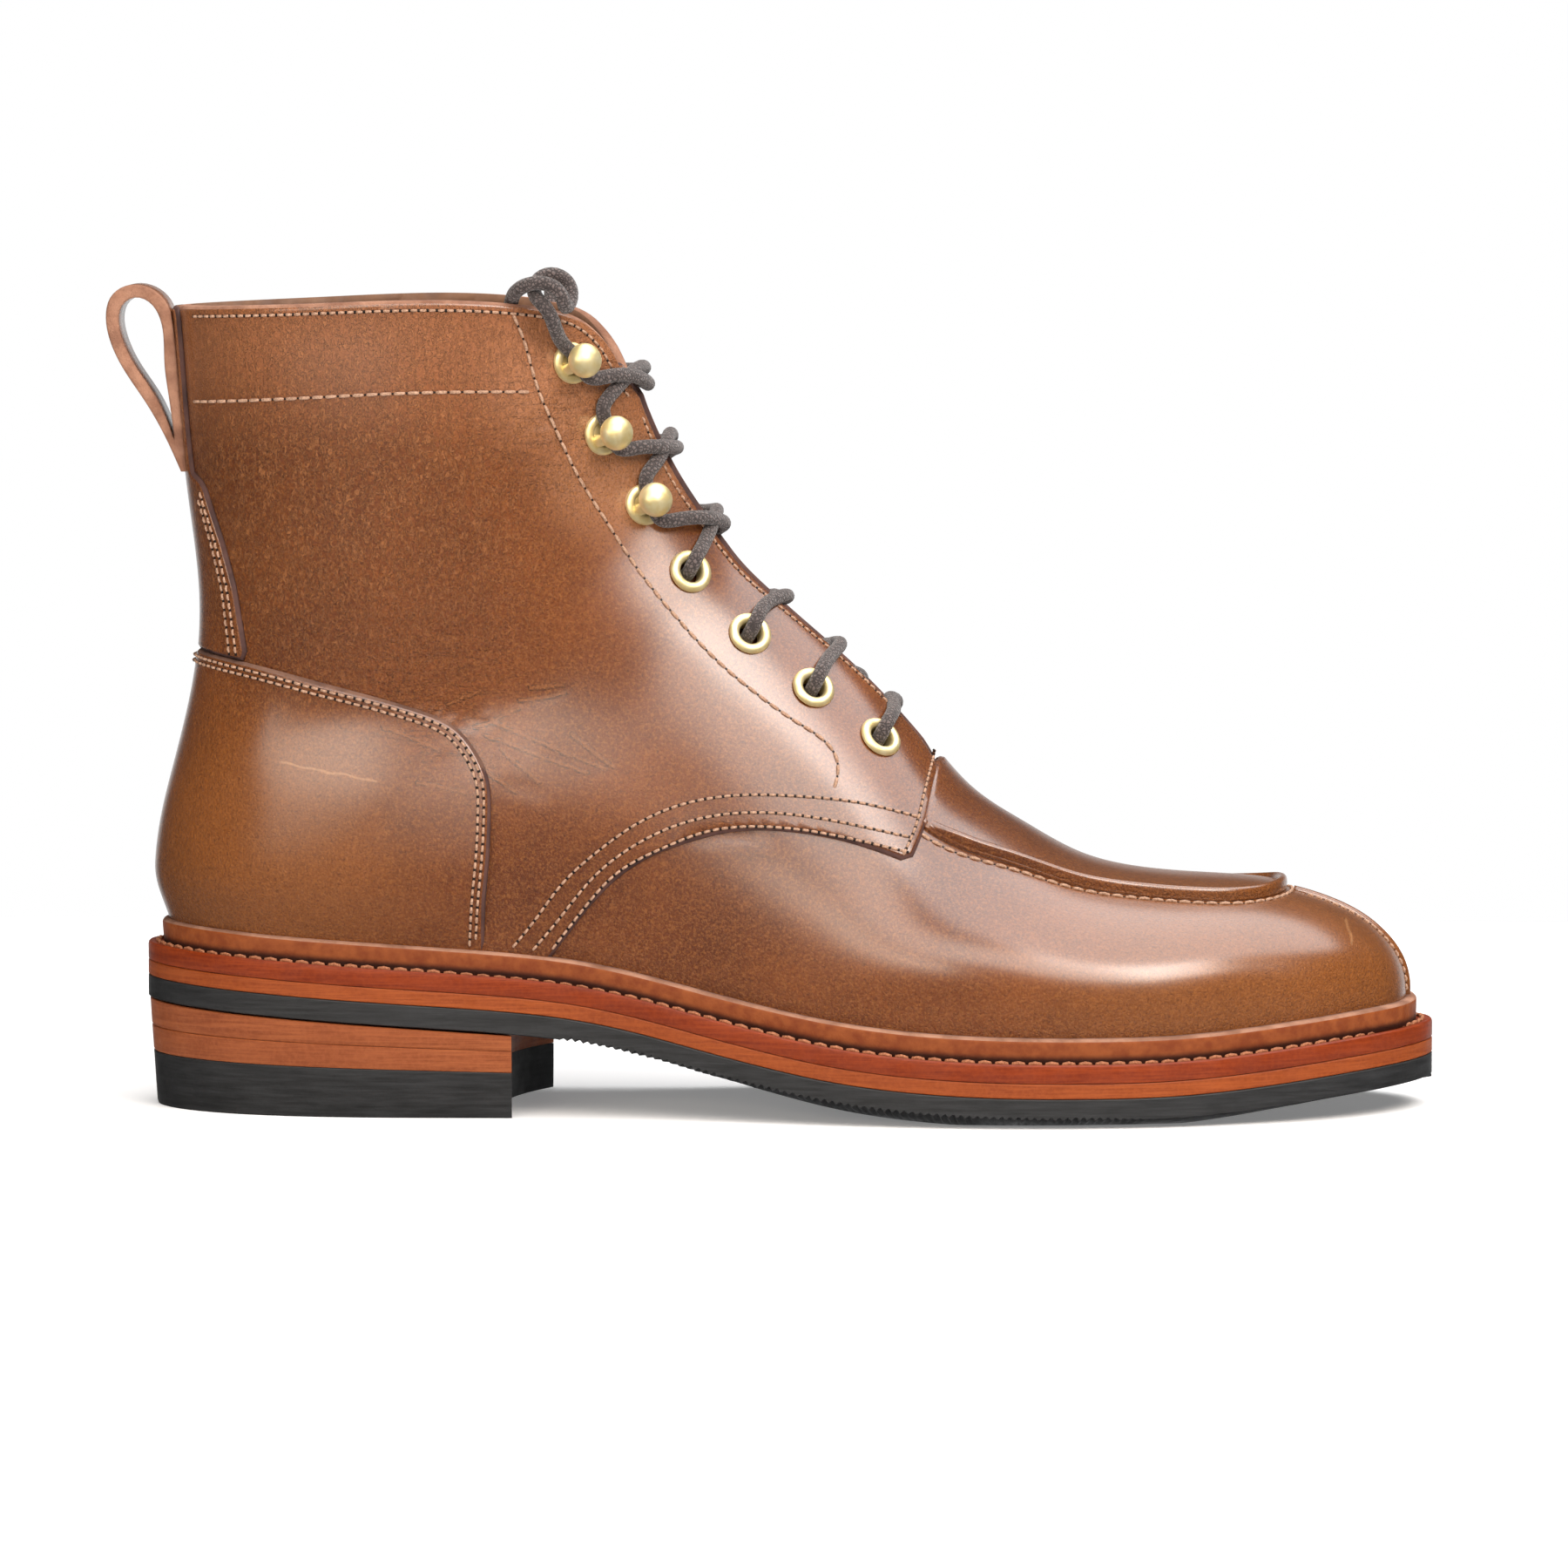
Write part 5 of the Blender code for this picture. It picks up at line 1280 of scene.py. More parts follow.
def make_rim():
    """The rolled rim around the apron, which tucks in under the quarters."""
    places, normals = apron_run(-RIM_HALF)
    normals = unit(normals)
    across = unit(np.cross(np.gradient(places, axis=0), normals))
    ahead = -signed_distance(quarter_polygon(), places[:, 0], places[:, 2])
    rise = RIM_RISE - RIM_TUCK_DEEP * (1 - np.clip(ahead / RIM_TUCK, 0, 1)) ** 2
    points = []
    for angle in np.linspace(0, math.pi, RIM_SIDES):
        side = RIM_HALF * np.sign(math.cos(angle)) * abs(math.cos(angle)) ** RIM_FULLNESS
        height = RIM_FOOT + rise * math.sin(angle) ** RIM_FULLNESS
        points.append(places + across * side + normals * height[:, None])
    points = np.stack(points, axis=1).reshape(-1, 3)
    count = len(places)
    ends = [list(range(RIM_SIDES)), [(count - 1) * RIM_SIDES + i for i in range(RIM_SIDES)]]
    return outward(solid("boot_apron_rim", points, ends + wall_faces(count, RIM_SIDES), [LEATHER]), 60)


def make_apron():
    """The plug of the vamp, the rolled rim around it and the seam down the toe."""
    outer, inner = apron_edges(APRON_BACK, 200)
    plan = signed_distance(np.concatenate([outer, inner[::-1]]), X, Y)
    front = np.where((ROW < APRON_ROWS_TO) & (Z > APRON_ABOVE), APRON_LAP - QUARTER_FIELD, OUTSIDE)
    field = lowest(plan, THROAT_FIELD, front)
    apron = panel("boot_apron", field, 0.0, edge_profile(APRON_TOP), [LEATHER])
    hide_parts("apron")
    field = lowest(TOE_SEAM_HALF - np.abs(Y - FOOT_ROWS[0].middle), SEAT_FIELD)
    field = lowest(field, X - APRON_LOOP[-1].x - TOE_SEAM_START)
    seam = panel("boot_toe_seam", field, 0.0, SEAM_PROFILE, [LEATHER])
    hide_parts("toe_seam")
    for item in (apron, make_rim(), seam):
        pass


TONGUE_ROWS = 9.9, 24.0
TONGUE_CORNER = 9.0
TONGUE_Z = 60.0, 195.0
TONGUE_HALF = 17.0, 24.0
TONGUE_BACK = -4.9
TONGUE_TOP = -3.0


def make_tongue():
    """The tongue under the throat, its top corners rounded."""
    low, high = TONGUE_ROWS
    side = np.interp(Z, TONGUE_Z, TONGUE_HALF) - np.abs(Y - MIDDLE)
    top = (high - ROW) * ROW_LENGTH / 2
    field = lowest(rounded(side, top, TONGUE_CORNER), (ROW - low) * ROW_LENGTH)
    field = np.where(CURVES["top_z"](ROW) - Z < THROAT_DEEP, field, OUTSIDE)
    tongue = panel("boot_tongue", field, TONGUE_BACK, edge_profile(TONGUE_TOP), LEATHERS)
    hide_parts("tongue")


# The welt and the sole

LIP_OUTER = 2.5
LIP_TUCK = 1.0
LIP_TOP_BAND = 1.5
LIP_UPWARD = 0.5
LIP_EDGE = [(0.9, 0.0), (0.5, 0.1), (0.15, 0.4), (0.0, 0.8)]
HEEL_LIP_RISE = 0.6
HEEL_LIP_X = -72.0, -50.0


def lip_rise(points):
    return np.interp(points[:, 0], HEEL_LIP_X, [HEEL_LIP_RISE, 0.0])


def make_lip():
    """The storm welt's lip, which leans on the upper all round."""
    field = lowest(lip_top(X) - Z, Z - welt_top(X) + LIP_TUCK)
    profile = [(inset, LIP_OUTER - drop) for inset, drop in LIP_EDGE]
    lip = panel("boot_welt_lip", field, 0.0, profile, [LIP, PALE_EDGE_AND_LIGHT], lip_rise)
    # Painted light: the lip's upward-facing top band takes the pale edge
    for polygon in lip.data.polygons:
        centre = polygon.center
        band = lip_top(centre.x / MM) - LIP_TOP_BAND
        if polygon.normal.z > LIP_UPWARD and centre.z > band * MM:
            polygon.material_index = 1
    points = np.array([vertex.co for vertex in lip.data.vertices]) / MM
    foot = welt_top(points[:, 0])
    height = lip.data.attributes.new(LIP_HEIGHT, "FLOAT", "POINT")
    height.data.foreach_set("value", (points[:, 2] - foot) / (lip_top(points[:, 0]) - foot))


def picked(line, count):
    """A count of points, evenly picked along a line."""
    fine = even_steps(line, 0.1)
    return fine[np.linspace(0, len(fine) - 1, count).round().astype(int)]


def sole_loop(count):
    """Points around the sole's outline, heel to toe outside and back inside, and their normals."""
    loop = np.concatenate([picked(OUTER_EDGE, count), picked(INNER_EDGE, count)[-2:0:-1]])
    return loop, right_of(unit(np.roll(loop, -3, axis=0) - np.roll(loop, 3, axis=0)))


def sole_layer(name, levels, material, count, ring=False):
    """A layer of the sole from levels of (inset, heights), capped across, or open as a ring."""
    loop, out = sole_loop(count)
    size = len(loop)
    points = []
    for inset, height in levels:
        plan = loop - out * inset
        heights = height(plan[:, 0]) if callable(height) else height
        points.append(np.column_stack([plan, heights]))
    faces = wall_faces(len(levels), size, ring)
    for level in () if ring else (0, len(levels) - 1):
        for i in range(count - 1):
            corners = i, i + 1, size - i - 1, size - i
            faces.append([level * size + c for c in dict.fromkeys(corner % size for corner in corners)])
    return outward(solid(name, np.concatenate(points), faces, [material]), SOLE_CREASE)


def above(curve, rise):
    return lambda x: curve(x) + rise


SOLE_STEPS = 360
SOLE_CREASE = 35
WELT_LEVELS = [
    (6.3, above(welt_top, -0.1)),
    (3.4, above(welt_top, -0.35)),
    (1.6, above(welt_top, -0.15)),
    (0.5, above(welt_top, -0.1)),
    (0.12, above(welt_top, -0.45)),
    (0.0, above(welt_top, -1.0)),
    (0.0, above(midsole_top, 0.35)),
    (0.15, above(midsole_top, 0.1)),
    (6.3, above(midsole_top, 0.1)),
]
MIDSOLE_LEVELS = [
    (1.0, above(midsole_top, 0.0)),
    (0.2, above(midsole_top, -0.05)),
    (0.0, above(midsole_top, -0.3)),
    (0.0, above(outsole_top, 0.3)),
    (0.2, above(outsole_top, 0.1)),
    (1.0, above(outsole_top, 0.1)),
]
OUTSOLE_STEPS = 760
TOOTH_PITCH = 1.9
TOOTH_DEPTH = 0.9
TOOTH_SPAN = -50.0, 92.0
TOOTH_FADE = 4, 12
TREAD_INSET = 9.0
TREAD_SHARE = 0.3


def make_sole():
    """The welt, the midsole and the rubber outsole, with its fine saw edge from arch to ball."""
    welt = sole_layer("boot_welt", WELT_LEVELS, WELT, SOLE_STEPS, ring=True)
    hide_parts("welt")
    midsole = sole_layer("boot_midsole", MIDSOLE_LEVELS, MIDSOLE_EDGE, SOLE_STEPS)
    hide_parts("midsole")
    loop, _ = sole_loop(OUTSOLE_STEPS)
    x = loop[:, 0]
    start = np.clip((x - TOOTH_SPAN[0]) / TOOTH_FADE[0], 0, 1)
    fade = start * np.clip((TOOTH_SPAN[1] - x) / TOOTH_FADE[1], 0, 1)
    tooth = TOOTH_DEPTH * fade * np.abs((run_lengths(loop) / TOOTH_PITCH) % 1 - 0.5) * 2
    across = np.abs(edge_at(INNER_EDGE, x) - edge_at(OUTER_EDGE, x))
    narrow = np.minimum(1.0, TREAD_SHARE * across / TREAD_INSET)[:, None]
    top, edge, tread = outsole_top(x), outsole_edge(x), outsole_tread(x)
    levels = [
        (1.0, top),
        (0.2, top - 0.05),
        (0.0, top - 0.3),
        (0.0, edge + 0.9),
        (0.0, edge + 0.25 + tooth),
        (0.4, edge + tooth),
        (4.0 * narrow, (edge + tread) / 2 + tooth * 0.8),
        (TREAD_INSET * narrow, tread),
    ]
    outsole = sole_layer("boot_outsole", levels, RUBBER, OUTSOLE_STEPS)
    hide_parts("outsole")


# Layers of the heel from the top down: height at the back and at the breast, and inset
HEEL_LAYERS = tabled("name back breast inset", [
    ("heel_lift_upper", 25.3, 19.5, 0.4),
    ("heel_lift_lower", 18.8, 15.8, 0.8),
    ("heel_top_piece", 12.7, 10.7, 1.2),
    ("floor", 0.0, 0.0, 2.0),
])
HEEL_BACK_X = -148.3
BREAST_OUTER_X = -59.6
BREAST_INNER_X = -53.6
BREAST_HOLLOW = 7.0
HEEL_STEPS = 90
BREAST_STEPS = 24
HEEL_SOFT = 0.2
HEEL_TAPER = 0.05
HEEL_LAYER_GAP = 0.1
FLOOR_SOFT = 0.8


def heel_outline(inset):
    """Points of the heel's outline seen from above, with its hollow breast."""
    sides = []
    for line, breast_x, inward in ((OUTER_EDGE, BREAST_OUTER_X, 1.0), (INNER_EDGE, BREAST_INNER_X, -1.0)):
        edge = picked(line[line[:, 0] <= breast_x], HEEL_STEPS)
        along = unit(np.gradient(edge, axis=0))
        along[0] = 0.0, -inward
        sides.append(edge - inset * inward * right_of(along))
    outer, inner = sides
    share = np.linspace(0, 1, BREAST_STEPS + 1)[1:-1, None]
    breast = outer[-1] + (inner[-1] - outer[-1]) * share
    breast[:, 0] -= BREAST_HOLLOW * 4 * (share * (1 - share))[:, 0]
    return np.concatenate([outer, breast, inner[:0:-1]])


def heel_height(layer, x):
    share = (x - HEEL_BACK_X) / (BREAST_OUTER_X - HEEL_BACK_X)
    return layer.back + (layer.breast - layer.back) * share


def make_heel():
    """The two leather lifts and the rubber top piece on the floor."""
    for layer, below in zip(HEEL_LAYERS, HEEL_LAYERS[1:]):
        on_floor = below.name == "floor"
        levels = [
            (layer.inset + HEEL_SOFT, layer, 0.0),
            (layer.inset, layer, -HEEL_SOFT),
            (below.inset - HEEL_TAPER, below, FLOOR_SOFT if on_floor else SEAT_GAP + HEEL_SOFT),
            (below.inset + HEEL_SOFT, below, 0.0 if on_floor else HEEL_LAYER_GAP),
        ]
        loops = []
        for inset, level, rise in levels:
            plan = heel_outline(inset)
            loops.append(np.column_stack([plan, heel_height(level, plan[:, 0]) + rise]))
        size = len(loops[0])
        faces = [list(range(size)), [3 * size + i for i in range(size)][::-1]]
        faces += wall_faces(len(loops), size)
        material = RUBBER if on_floor else LIFTS
        item = outward(solid(f"boot_{layer.name}", np.concatenate(loops), faces, [material]), SOLE_CREASE)
        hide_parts(layer.name)


# The pull loop

LOOP_STEP = 1.2
LOOP_SOFT = 0.6


def make_pull_loop():
    """A folded strap, its edges rounded, cut from the side view of its two legs."""
    face = smooth_route(LOOP_FACE, LOOP_STEP)
    hole = smooth_route(LOOP_HOLE + LOOP_HOLE[:1], LOOP_STEP)[:-1]
    points, faces = strap_solid(face, hole)
    kinds = [int(np.ptp(points[corners, 1]) < LOOP_SOFT) for corners in faces]
    item = solid("boot_pull_loop", points, faces, [LEATHER, PALE_EDGE_AND_LIGHT], kinds)
    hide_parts("pull_loop")


def strap_rows(outline, sign):
    """Rows of points across a strap along a closed outline, with softened edges."""
    x, z = outline.T
    turn = sign if np.sum(x * np.roll(z, -1) - np.roll(x, -1) * z) > 0 else -sign
    out = right_of(unit(np.roll(outline, -1, axis=0) - np.roll(outline, 1, axis=0))) * turn
    edge = -LOOP_WIDTH / 2
    softened = (edge, LOOP_SOFT), (edge + LOOP_SOFT * 0.3, LOOP_SOFT * 0.3), (edge + LOOP_SOFT, 0.0)
    rows = [(y, outline - out * inset) for y, inset in softened]
    rows += [(-y, plan) for y, plan in reversed(rows)]
    return [np.column_stack([plan[:, 0], np.full(len(plan), y), plan[:, 1]]) for y, plan in rows]


def strap_solid(face, hole):
    """Points and faces of a strap from the side view of its face and of its hole."""
    bm = bmesh.new()
    rings = []
    for outline, sign in ((face, 1.0), (hole, -1.0)):
        size = len(outline)
        rows = strap_rows(outline, sign)
        corners = [bm.verts.new(point) for point in np.concatenate(rows)]
        for polygon in wall_faces(len(rows), size):
            bm.faces.new([corners[i] for i in polygon])
        rings.append((corners[:size], corners[-size:]))
    for around, inside in zip(*rings):
        pairs = [*zip(around, around[1:] + around[:1]), *zip(inside, inside[1:] + inside[:1])]
        bmesh.ops.triangle_fill(bm, use_beauty=True, edges=[bm.edges.get(pair) for pair in pairs])
    bmesh.ops.recalc_face_normals(bm, faces=bm.faces)
    bm.verts.index_update()
    points = np.array([vert.co for vert in bm.verts])
    faces = [[vert.index for vert in polygon.verts] for polygon in bm.faces]
    bm.free()
    return points, faces


# Eyelets and hooks

EYELET_DEEP = -2.8
EYELET_FOOT = 0.02
EYELET_CROWN = 0.15, 1.15
HARDWARE_EDGE = 0.3
HARDWARE_CREASE = 40


def eyelet_profile():
    """A rolled crown around the bore, and a barrel through the hole."""
    roll = (EYELET_RADIUS - EYELET_BORE) / 2
    foot, rise = EYELET_CROWN
    barrel = HOLE_RADIUS - HARDWARE_EDGE
    crown = [
        (EYELET_BORE + roll - roll * math.cos(angle), foot + rise * math.sin(angle))
        for angle in np.linspace(0, math.pi, 13)
    ]
    below = [(EYELET_RADIUS - HARDWARE_EDGE, EYELET_FOOT), (barrel, EYELET_FOOT)]
    return crown + below + [(barrel, EYELET_DEEP), (EYELET_BORE, EYELET_DEEP)]


def make_hardware():
    for kind, name, point, normal in PLACES:
        eyelet = kind == "eyelet"
        shapes = [lathe(eyelet_profile(), point, normal)] if eyelet else hook_shapes(point, normal)
        item = weld(solid(f"boot_{name}", *joined(shapes), [BRASS]))
        outward(item, HARDWARE_CREASE)
        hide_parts(name)


# The hook's disc as (distance in from its rim, height), and its neck as (distance to the rear, height)
HOOK_DISC = [(0.0, 0.0), (0.0, 0.4), (0.25, 0.8), (0.7, 0.95), (1.7, 0.95), (2.1, 0.7), (2.3, 0.3)]
HOOK_DISH = 0.25
HOOK_NECK = [(2.2, 0.2), (2.3, 1.6), (2.0, 3.0), (1.0, 4.2), (0.0, 5.2)]
HOOK_NECK_RADII = 1.5, 1.25
HOOK_REAR = -0.8, 0.0, -0.6
BALL_SQUASH = 0.8


def hook_shapes(point, normal):
    """A stamped disc, a bent neck from its rear edge and a ball over the lace."""
    base = [(0.0, 0.0)] + [(HOOK_BASE - inset, high) for inset, high in HOOK_DISC] + [(0.0, HOOK_DISH)]
    angles = np.radians(np.linspace(-90, 90, 17))
    ball = [(HOOK_BALL * math.cos(a), HOOK_HEIGHT + HOOK_BALL * BALL_SQUASH * math.sin(a)) for a in angles]
    ball[0] = 0.0, ball[0][1]
    ball[-1] = 0.0, ball[-1][1]
    rear = np.array(HOOK_REAR)
    rear -= normal * (rear @ normal)
    rear /= np.linalg.norm(rear)
    neck = smooth_route([point + rear * away + normal * high for away, high in HOOK_NECK], 0.6)
    return [
        lathe(base, point, normal),
        lathe(ball, point, normal),
        tube(neck, np.linspace(*HOOK_NECK_RADII, len(neck)), 12),
    ]


# The lace

LACE_SIDES = 16
LACE_STEP = 1.0
RIDGE_ROWS = np.linspace(0, LAST_ROW, 541)[200:]
RIDGE_HEIGHTS = CURVES["top_z"](RIDGE_ROWS)


def over_last(row, across, lift):
    """A place over the last's front, at a row, a distance across from the ridge and a lift."""
    i = int(round(row / LAST_ROW * (len(FINE_ROWS) - 1)))
    y = FINE_POINTS[i, :, 1]
    span = slice(int(y.argmin()), int(y.argmax()) + 1)
    target = float(CURVES["middle"](row)) + across
    point = in_axes(FINE_POINTS[i, span], target, y[span])
    return point + lift * in_axes(FINE_NORMALS[i, span], target, y[span])


def ridge_row(z):
    return float(np.interp(z, RIDGE_HEIGHTS, RIDGE_ROWS))


def ridge_place(z, across, lift):
    return over_last(ridge_row(z), across, lift)


def beside(place, side, step_x, step_z, lift):
    """A lifted place on a side that shows a step away from an eyelet or hook in the side view."""
    x, z = place[0] + step_x, place[1] + step_z
    point, normal = surface_at(x, z, side)
    for _ in range(2):
        point, normal = surface_at(x - lift * normal[0], z - lift * normal[2], side)
    return point + normal * lift


def lace_tube(route):
    path = smooth_route(route, LACE_STEP)
    return path, tube(path, LACE_RADIUS, LACE_SIDES)


# Levels of the lace from the bottom up: the heights at which its strands cross the ridge, and their ends
LACE_LEVELS = tabled("outer_z inner_z low high", [
    (109.4, 110.6, ("eyelet", 1), ("eyelet", 2)),
    (120.2, 121.4, ("eyelet", 2), ("eyelet", 3)),
    (140.4, 137.4, ("eyelet", 3), ("hook", 0)),
    (158.6, 155.2, ("hook", 0), ("hook", 1)),
    (174.8, 170.6, ("hook", 1), ("hook", 2)),
])
BAR_RIDGE_Z = 96.6
BAR_HALF = 2.0
RIDGE_LIFT = 0.9
EYELET_LIFT = 0.3
UNDER_LIFT = -1.6

# Depths of a strand in its eyelet, and its steps (x, z, lift) out of the eyelet and past a hook
EYELET_DEPTHS = 3.5, 0.5
EYELET_RISE = [(1.5, 2.9, 3.0), (3.5, 6.8, 2.6)]
HOOK_ABOVE = [(1.0, 6.4, 3.0), (2.8, 9.6, 2.7)]
HOOK_BELOW = [(13.0, -2.9, 4.2), (8.6, -3.1, 3.8), (4.8, -3.2, 2.9)]
HOOK_PASS = 2.4, 1.2, 2.6
HOOK_EXIT = -0.9, 4.4, 3.0

# Places of a strand under a facing as (height over its crossing, distance across, lift)
UNDER_FACING = [(0.8, 5.5, -2.2), (1.2, 10.0, -3.6), (1.6, 13.0, -3.8)]

# Places of the hidden crossing as (height, distance across, lift)
HIDDEN_CROSSING = [(99, 10, -3.8), (101, 5, -2.2), (103, 0, -1.7), (105, -5, -2.2), (107, -10, -3.8)]
HIDDEN_APART = 0.3


def low_end(kind, number, side):
    """The start of a strand, out of an eyelet or up from a hook."""
    if kind == "hook":
        return [beside(HOOKS[number], side, *step) for step in (HOOK_PASS, *HOOK_ABOVE)]
    place = EYELETS[number]
    point, normal = surface_at(*place, side)
    start = [point - depth * normal for depth in EYELET_DEPTHS]
    return start + [beside(place, side, *step) for step in EYELET_RISE]


def high_end(kind, number, side, ridge_z):
    """The end of a strand, under a facing or down into a hook."""
    if kind == "hook":
        return [beside(HOOKS[number], side, *step) for step in (*HOOK_BELOW, HOOK_PASS)]
    sign = dict(SIDES)[side]
    return [ridge_place(ridge_z + rise, sign * across, lift) for rise, across, lift in UNDER_FACING]


def make_lace():
    """The bar over the vamp's end, a hidden crossing, and the crossings up to the top hooks."""
    bar = low_end("eyelet", 0, "outer")
    bar += [ridge_place(BAR_RIDGE_Z, across, EYELET_LIFT) for across in (-BAR_HALF, BAR_HALF)]
    bar += low_end("eyelet", 0, "inner")[::-1]
    add_lace("lace_bar", [lace_tube(bar)[1]])
    shapes = []
    for _, sign in SIDES:
        route = []
        for z, across, lift in HIDDEN_CROSSING:
            apart = 0.0 if across else sign * HIDDEN_APART
            route.append(ridge_place(z, sign * across, lift + apart))
        shapes.append(lace_tube(route)[1])
    add_lace("lace_cross_1", shapes)
    for number, level in enumerate(LACE_LEVELS, 2):
        shapes = []
        to_hook = level.high[0] == "hook"
        strands = ("outer", "inner", level.outer_z), ("inner", "outer", level.inner_z)
        for side, other, ridge_z in strands:
            lift = RIDGE_LIFT if to_hook else EYELET_LIFT if side == "outer" else UNDER_LIFT
            route = low_end(*level.low, side) + [ridge_place(ridge_z, 0.0, lift)]
            route += high_end(*level.high, other, ridge_z)
            shapes.append(lace_tube(route)[1])
        add_lace(f"lace_cross_{number}", shapes)


def add_lace(name, shapes):
    item = outward(solid(f"boot_{name}", *joined(shapes), [CORD]))
    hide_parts(name)
    return item


# Free ends of the lace as (x, y, z) places, from the top hooks over the collar into the shaft
LACE_END_OUTER = [
    (-49.4, -31.6, 185.6), (-51.5, -33.6, 190.1), (-53.4, -32.2, 192.0), (-54.2, -29.2, 194.4),
    (-52.9, -27.2, 196.7), (-49.6, -26.4, 197.4), (-46.4, -26.4, 195.2), (-45.8, -27.8, 191.8),
    (-46.8, -30.8, 190.0), (-47.4, -33.4, 192.0), (-49.0, -34.2, 194.4), (-52.0, -34.0, 195.6),
    (-55.6, -32.6, 195.2), (-58.4, -29.4, 193.6), (-59.9, -25.2, 190.8), (-60.4, -22.2, 186.2),
    (-60.6, -20.6, 178.0),
]
LACE_END_INNER = [
    (-49.8, 31.2, 184.6), (-52.2, 33.4, 189.2), (-53.4, 32.4, 192.2), (-53.8, 28.6, 192.8),
    (-53.6, 25.6, 190.0), (-53.4, 23.4, 184.6), (-53.6, 21.0, 174.0),
]


def make_lace_ends():
    """The cord's two ends, each from its top hook over the collar into the shaft."""
    for side, route in (("outer", LACE_END_OUTER), ("inner", LACE_END_INNER)):
        start = [beside(HOOKS[-1], side, *step) for step in (HOOK_PASS, HOOK_EXIT)]
        path, shape = lace_tube(start + route)
        item = add_lace(f"lace_end_{side}", [shape])


# Stitches

STITCH_SIDES = 6
HOLE_SIDES = 8
# The needle holes are dark discs of painted shade, from just under the surface to just above it
HOLE_DEPTHS = -0.3, 0.03

# A dash of thread as (share of its length, lift, thickness), for a thread of the given radius
STITCH_ARC = [(0.0, -0.5, 0.7), (0.12, 0.12, 1.0), (0.5, 0.24, 1.08), (0.88, 0.12, 1.0), (1.0, -0.5, 0.7)]
STITCH_ARC_RADIUS = 0.35

# Pitch, length and radius of the thread's dashes, and the radius of the needle's holes
CLOSE_STITCH = 2.1, 1.4, 0.31, 0.42
LONG_STITCH = 3.2, 2.6, 0.38, 0.3
WELT_STITCH = 3.9, 3.1, 0.5, 0.5

# Rows of stitches as (x, z) routes of the side view
QUARTER_ROWS = [
    [
        (32.8, 62.5), (15.0, 66.8), (-1.0, 68.7), (-14.0, 67.5), (-24.2, 63.7), (-34.4, 58.2),
        (-42.4, 49.8), (-50.7, 39.1),
    ],
    [
        (33.1, 65.8), (18.5, 69.3), (-3.1, 71.9), (-20.0, 69.3), (-30.1, 64.7), (-39.5, 57.7),
        (-48.4, 47.1), (-55.8, 38.4),
    ],
    [
        (35.1, 70.1), (22.0, 73.7), (7.5, 75.5), (-5.4, 75.9), (-20.0, 73.7), (-30.2, 69.3),
        (-39.5, 62.8), (-47.5, 55.5), (-54.1, 46.8), (-60.9, 38.6),
    ],
]
EYESTAY_ROW = [
    (-59.7, 188.3), (-57.2, 181.9), (-54.3, 171.5), (-50.2, 161.7), (-45.6, 151.5), (-39.0, 140.4),
    (-32.1, 129.8), (-25.4, 121.0), (-20.4, 115.2), (-12.0, 106.5), (-2.3, 98.5), (7.3, 91.8),
    (14.2, 86.7), (15.9, 84.0), (16.4, 81.0), (15.3, 76.2),
]
COLLAR_BAND_ROW = [(-134.6, 167.2), (-120.0, 168.0), (-106.4, 168.8), (-77.1, 170.1), (-53.7, 170.0)]
COLLAR_ROW_START = -134.6, 189.6
COLLAR_INSET = 2.3
FACING_INSET = 2.2
FACING_TOP_Z = 167.0
FACING_FROM_ROW = 11.3
FACING_ROW_STEP = 0.05
DOUBLE_ROW = 1.5, 2.9
COUNTER_FOOT = -66.6, 40.0


def side_run(route, side, step=0.5):
    """Places and normals along a route of the side view."""
    return surface_run(even_steps(smooth_route(route, step), step), side)


def stitch_row(places, normals, height, pitch, length, radius, hole):
    """The thread dashes and the needle holes along a run of places."""
    along = run_lengths(places)
    normals = unit(normals)

    def at(run, lift):
        normal = in_axes(normals, run, along)
        return in_axes(places, run, along) + normal * (height + lift), normal

    dashes = []
    holes = []
    radii = [radius * thick for _, _, thick in STITCH_ARC]
    for k in range(int(along[-1] / pitch)):
        start = k * pitch + (pitch - length) / 2
        path = []
        for share, lift, _ in STITCH_ARC:
            path.append(at(start + length * share, lift * radius / STITCH_ARC_RADIUS)[0])
        dashes.append(tube(path, radii, STITCH_SIDES))
        place, normal = at(k * pitch, 0.0)
        holes.append(tube([place + normal * depth for depth in HOLE_DEPTHS], hole, HOLE_SIDES))
    return dashes, holes


def add_stitches(name, rows, material):
    """All the stitches of some rows as one piece, and their needle holes as another."""
    dashes = []
    holes = []
    for places, normals, height, kind in rows:
        row_dashes, row_holes = stitch_row(places, normals, height, *kind)
        dashes += row_dashes
        holes += row_holes
    outward(solid(f"boot_{name}", *joined(dashes), [material]))
    # The holes' dark discs are painted shade
    outward(solid(f"boot_{name}_holes", *joined(holes), [HOLE_SHADE]))


def inset_line(route, distance):
    """A smooth line in a plane, moved sideways by a distance to its right."""
    line = smooth_route(route, 1.0)
    return line + distance * right_of(unit(np.gradient(line, axis=0)))


def facing_run(sign):
    """Places and normals along the edge of a facing, beside the throat."""
    run = np.arange(FACING_FROM_ROW, ridge_row(FACING_TOP_Z), FACING_ROW_STEP)
    reach = [sign * (throat_half(row) + FACING_INSET) for row in run]
    low, high = (np.array([over_last(*place, lift) for place in zip(run, reach)]) for lift in (0.0, 1.0))
    return low, high - low


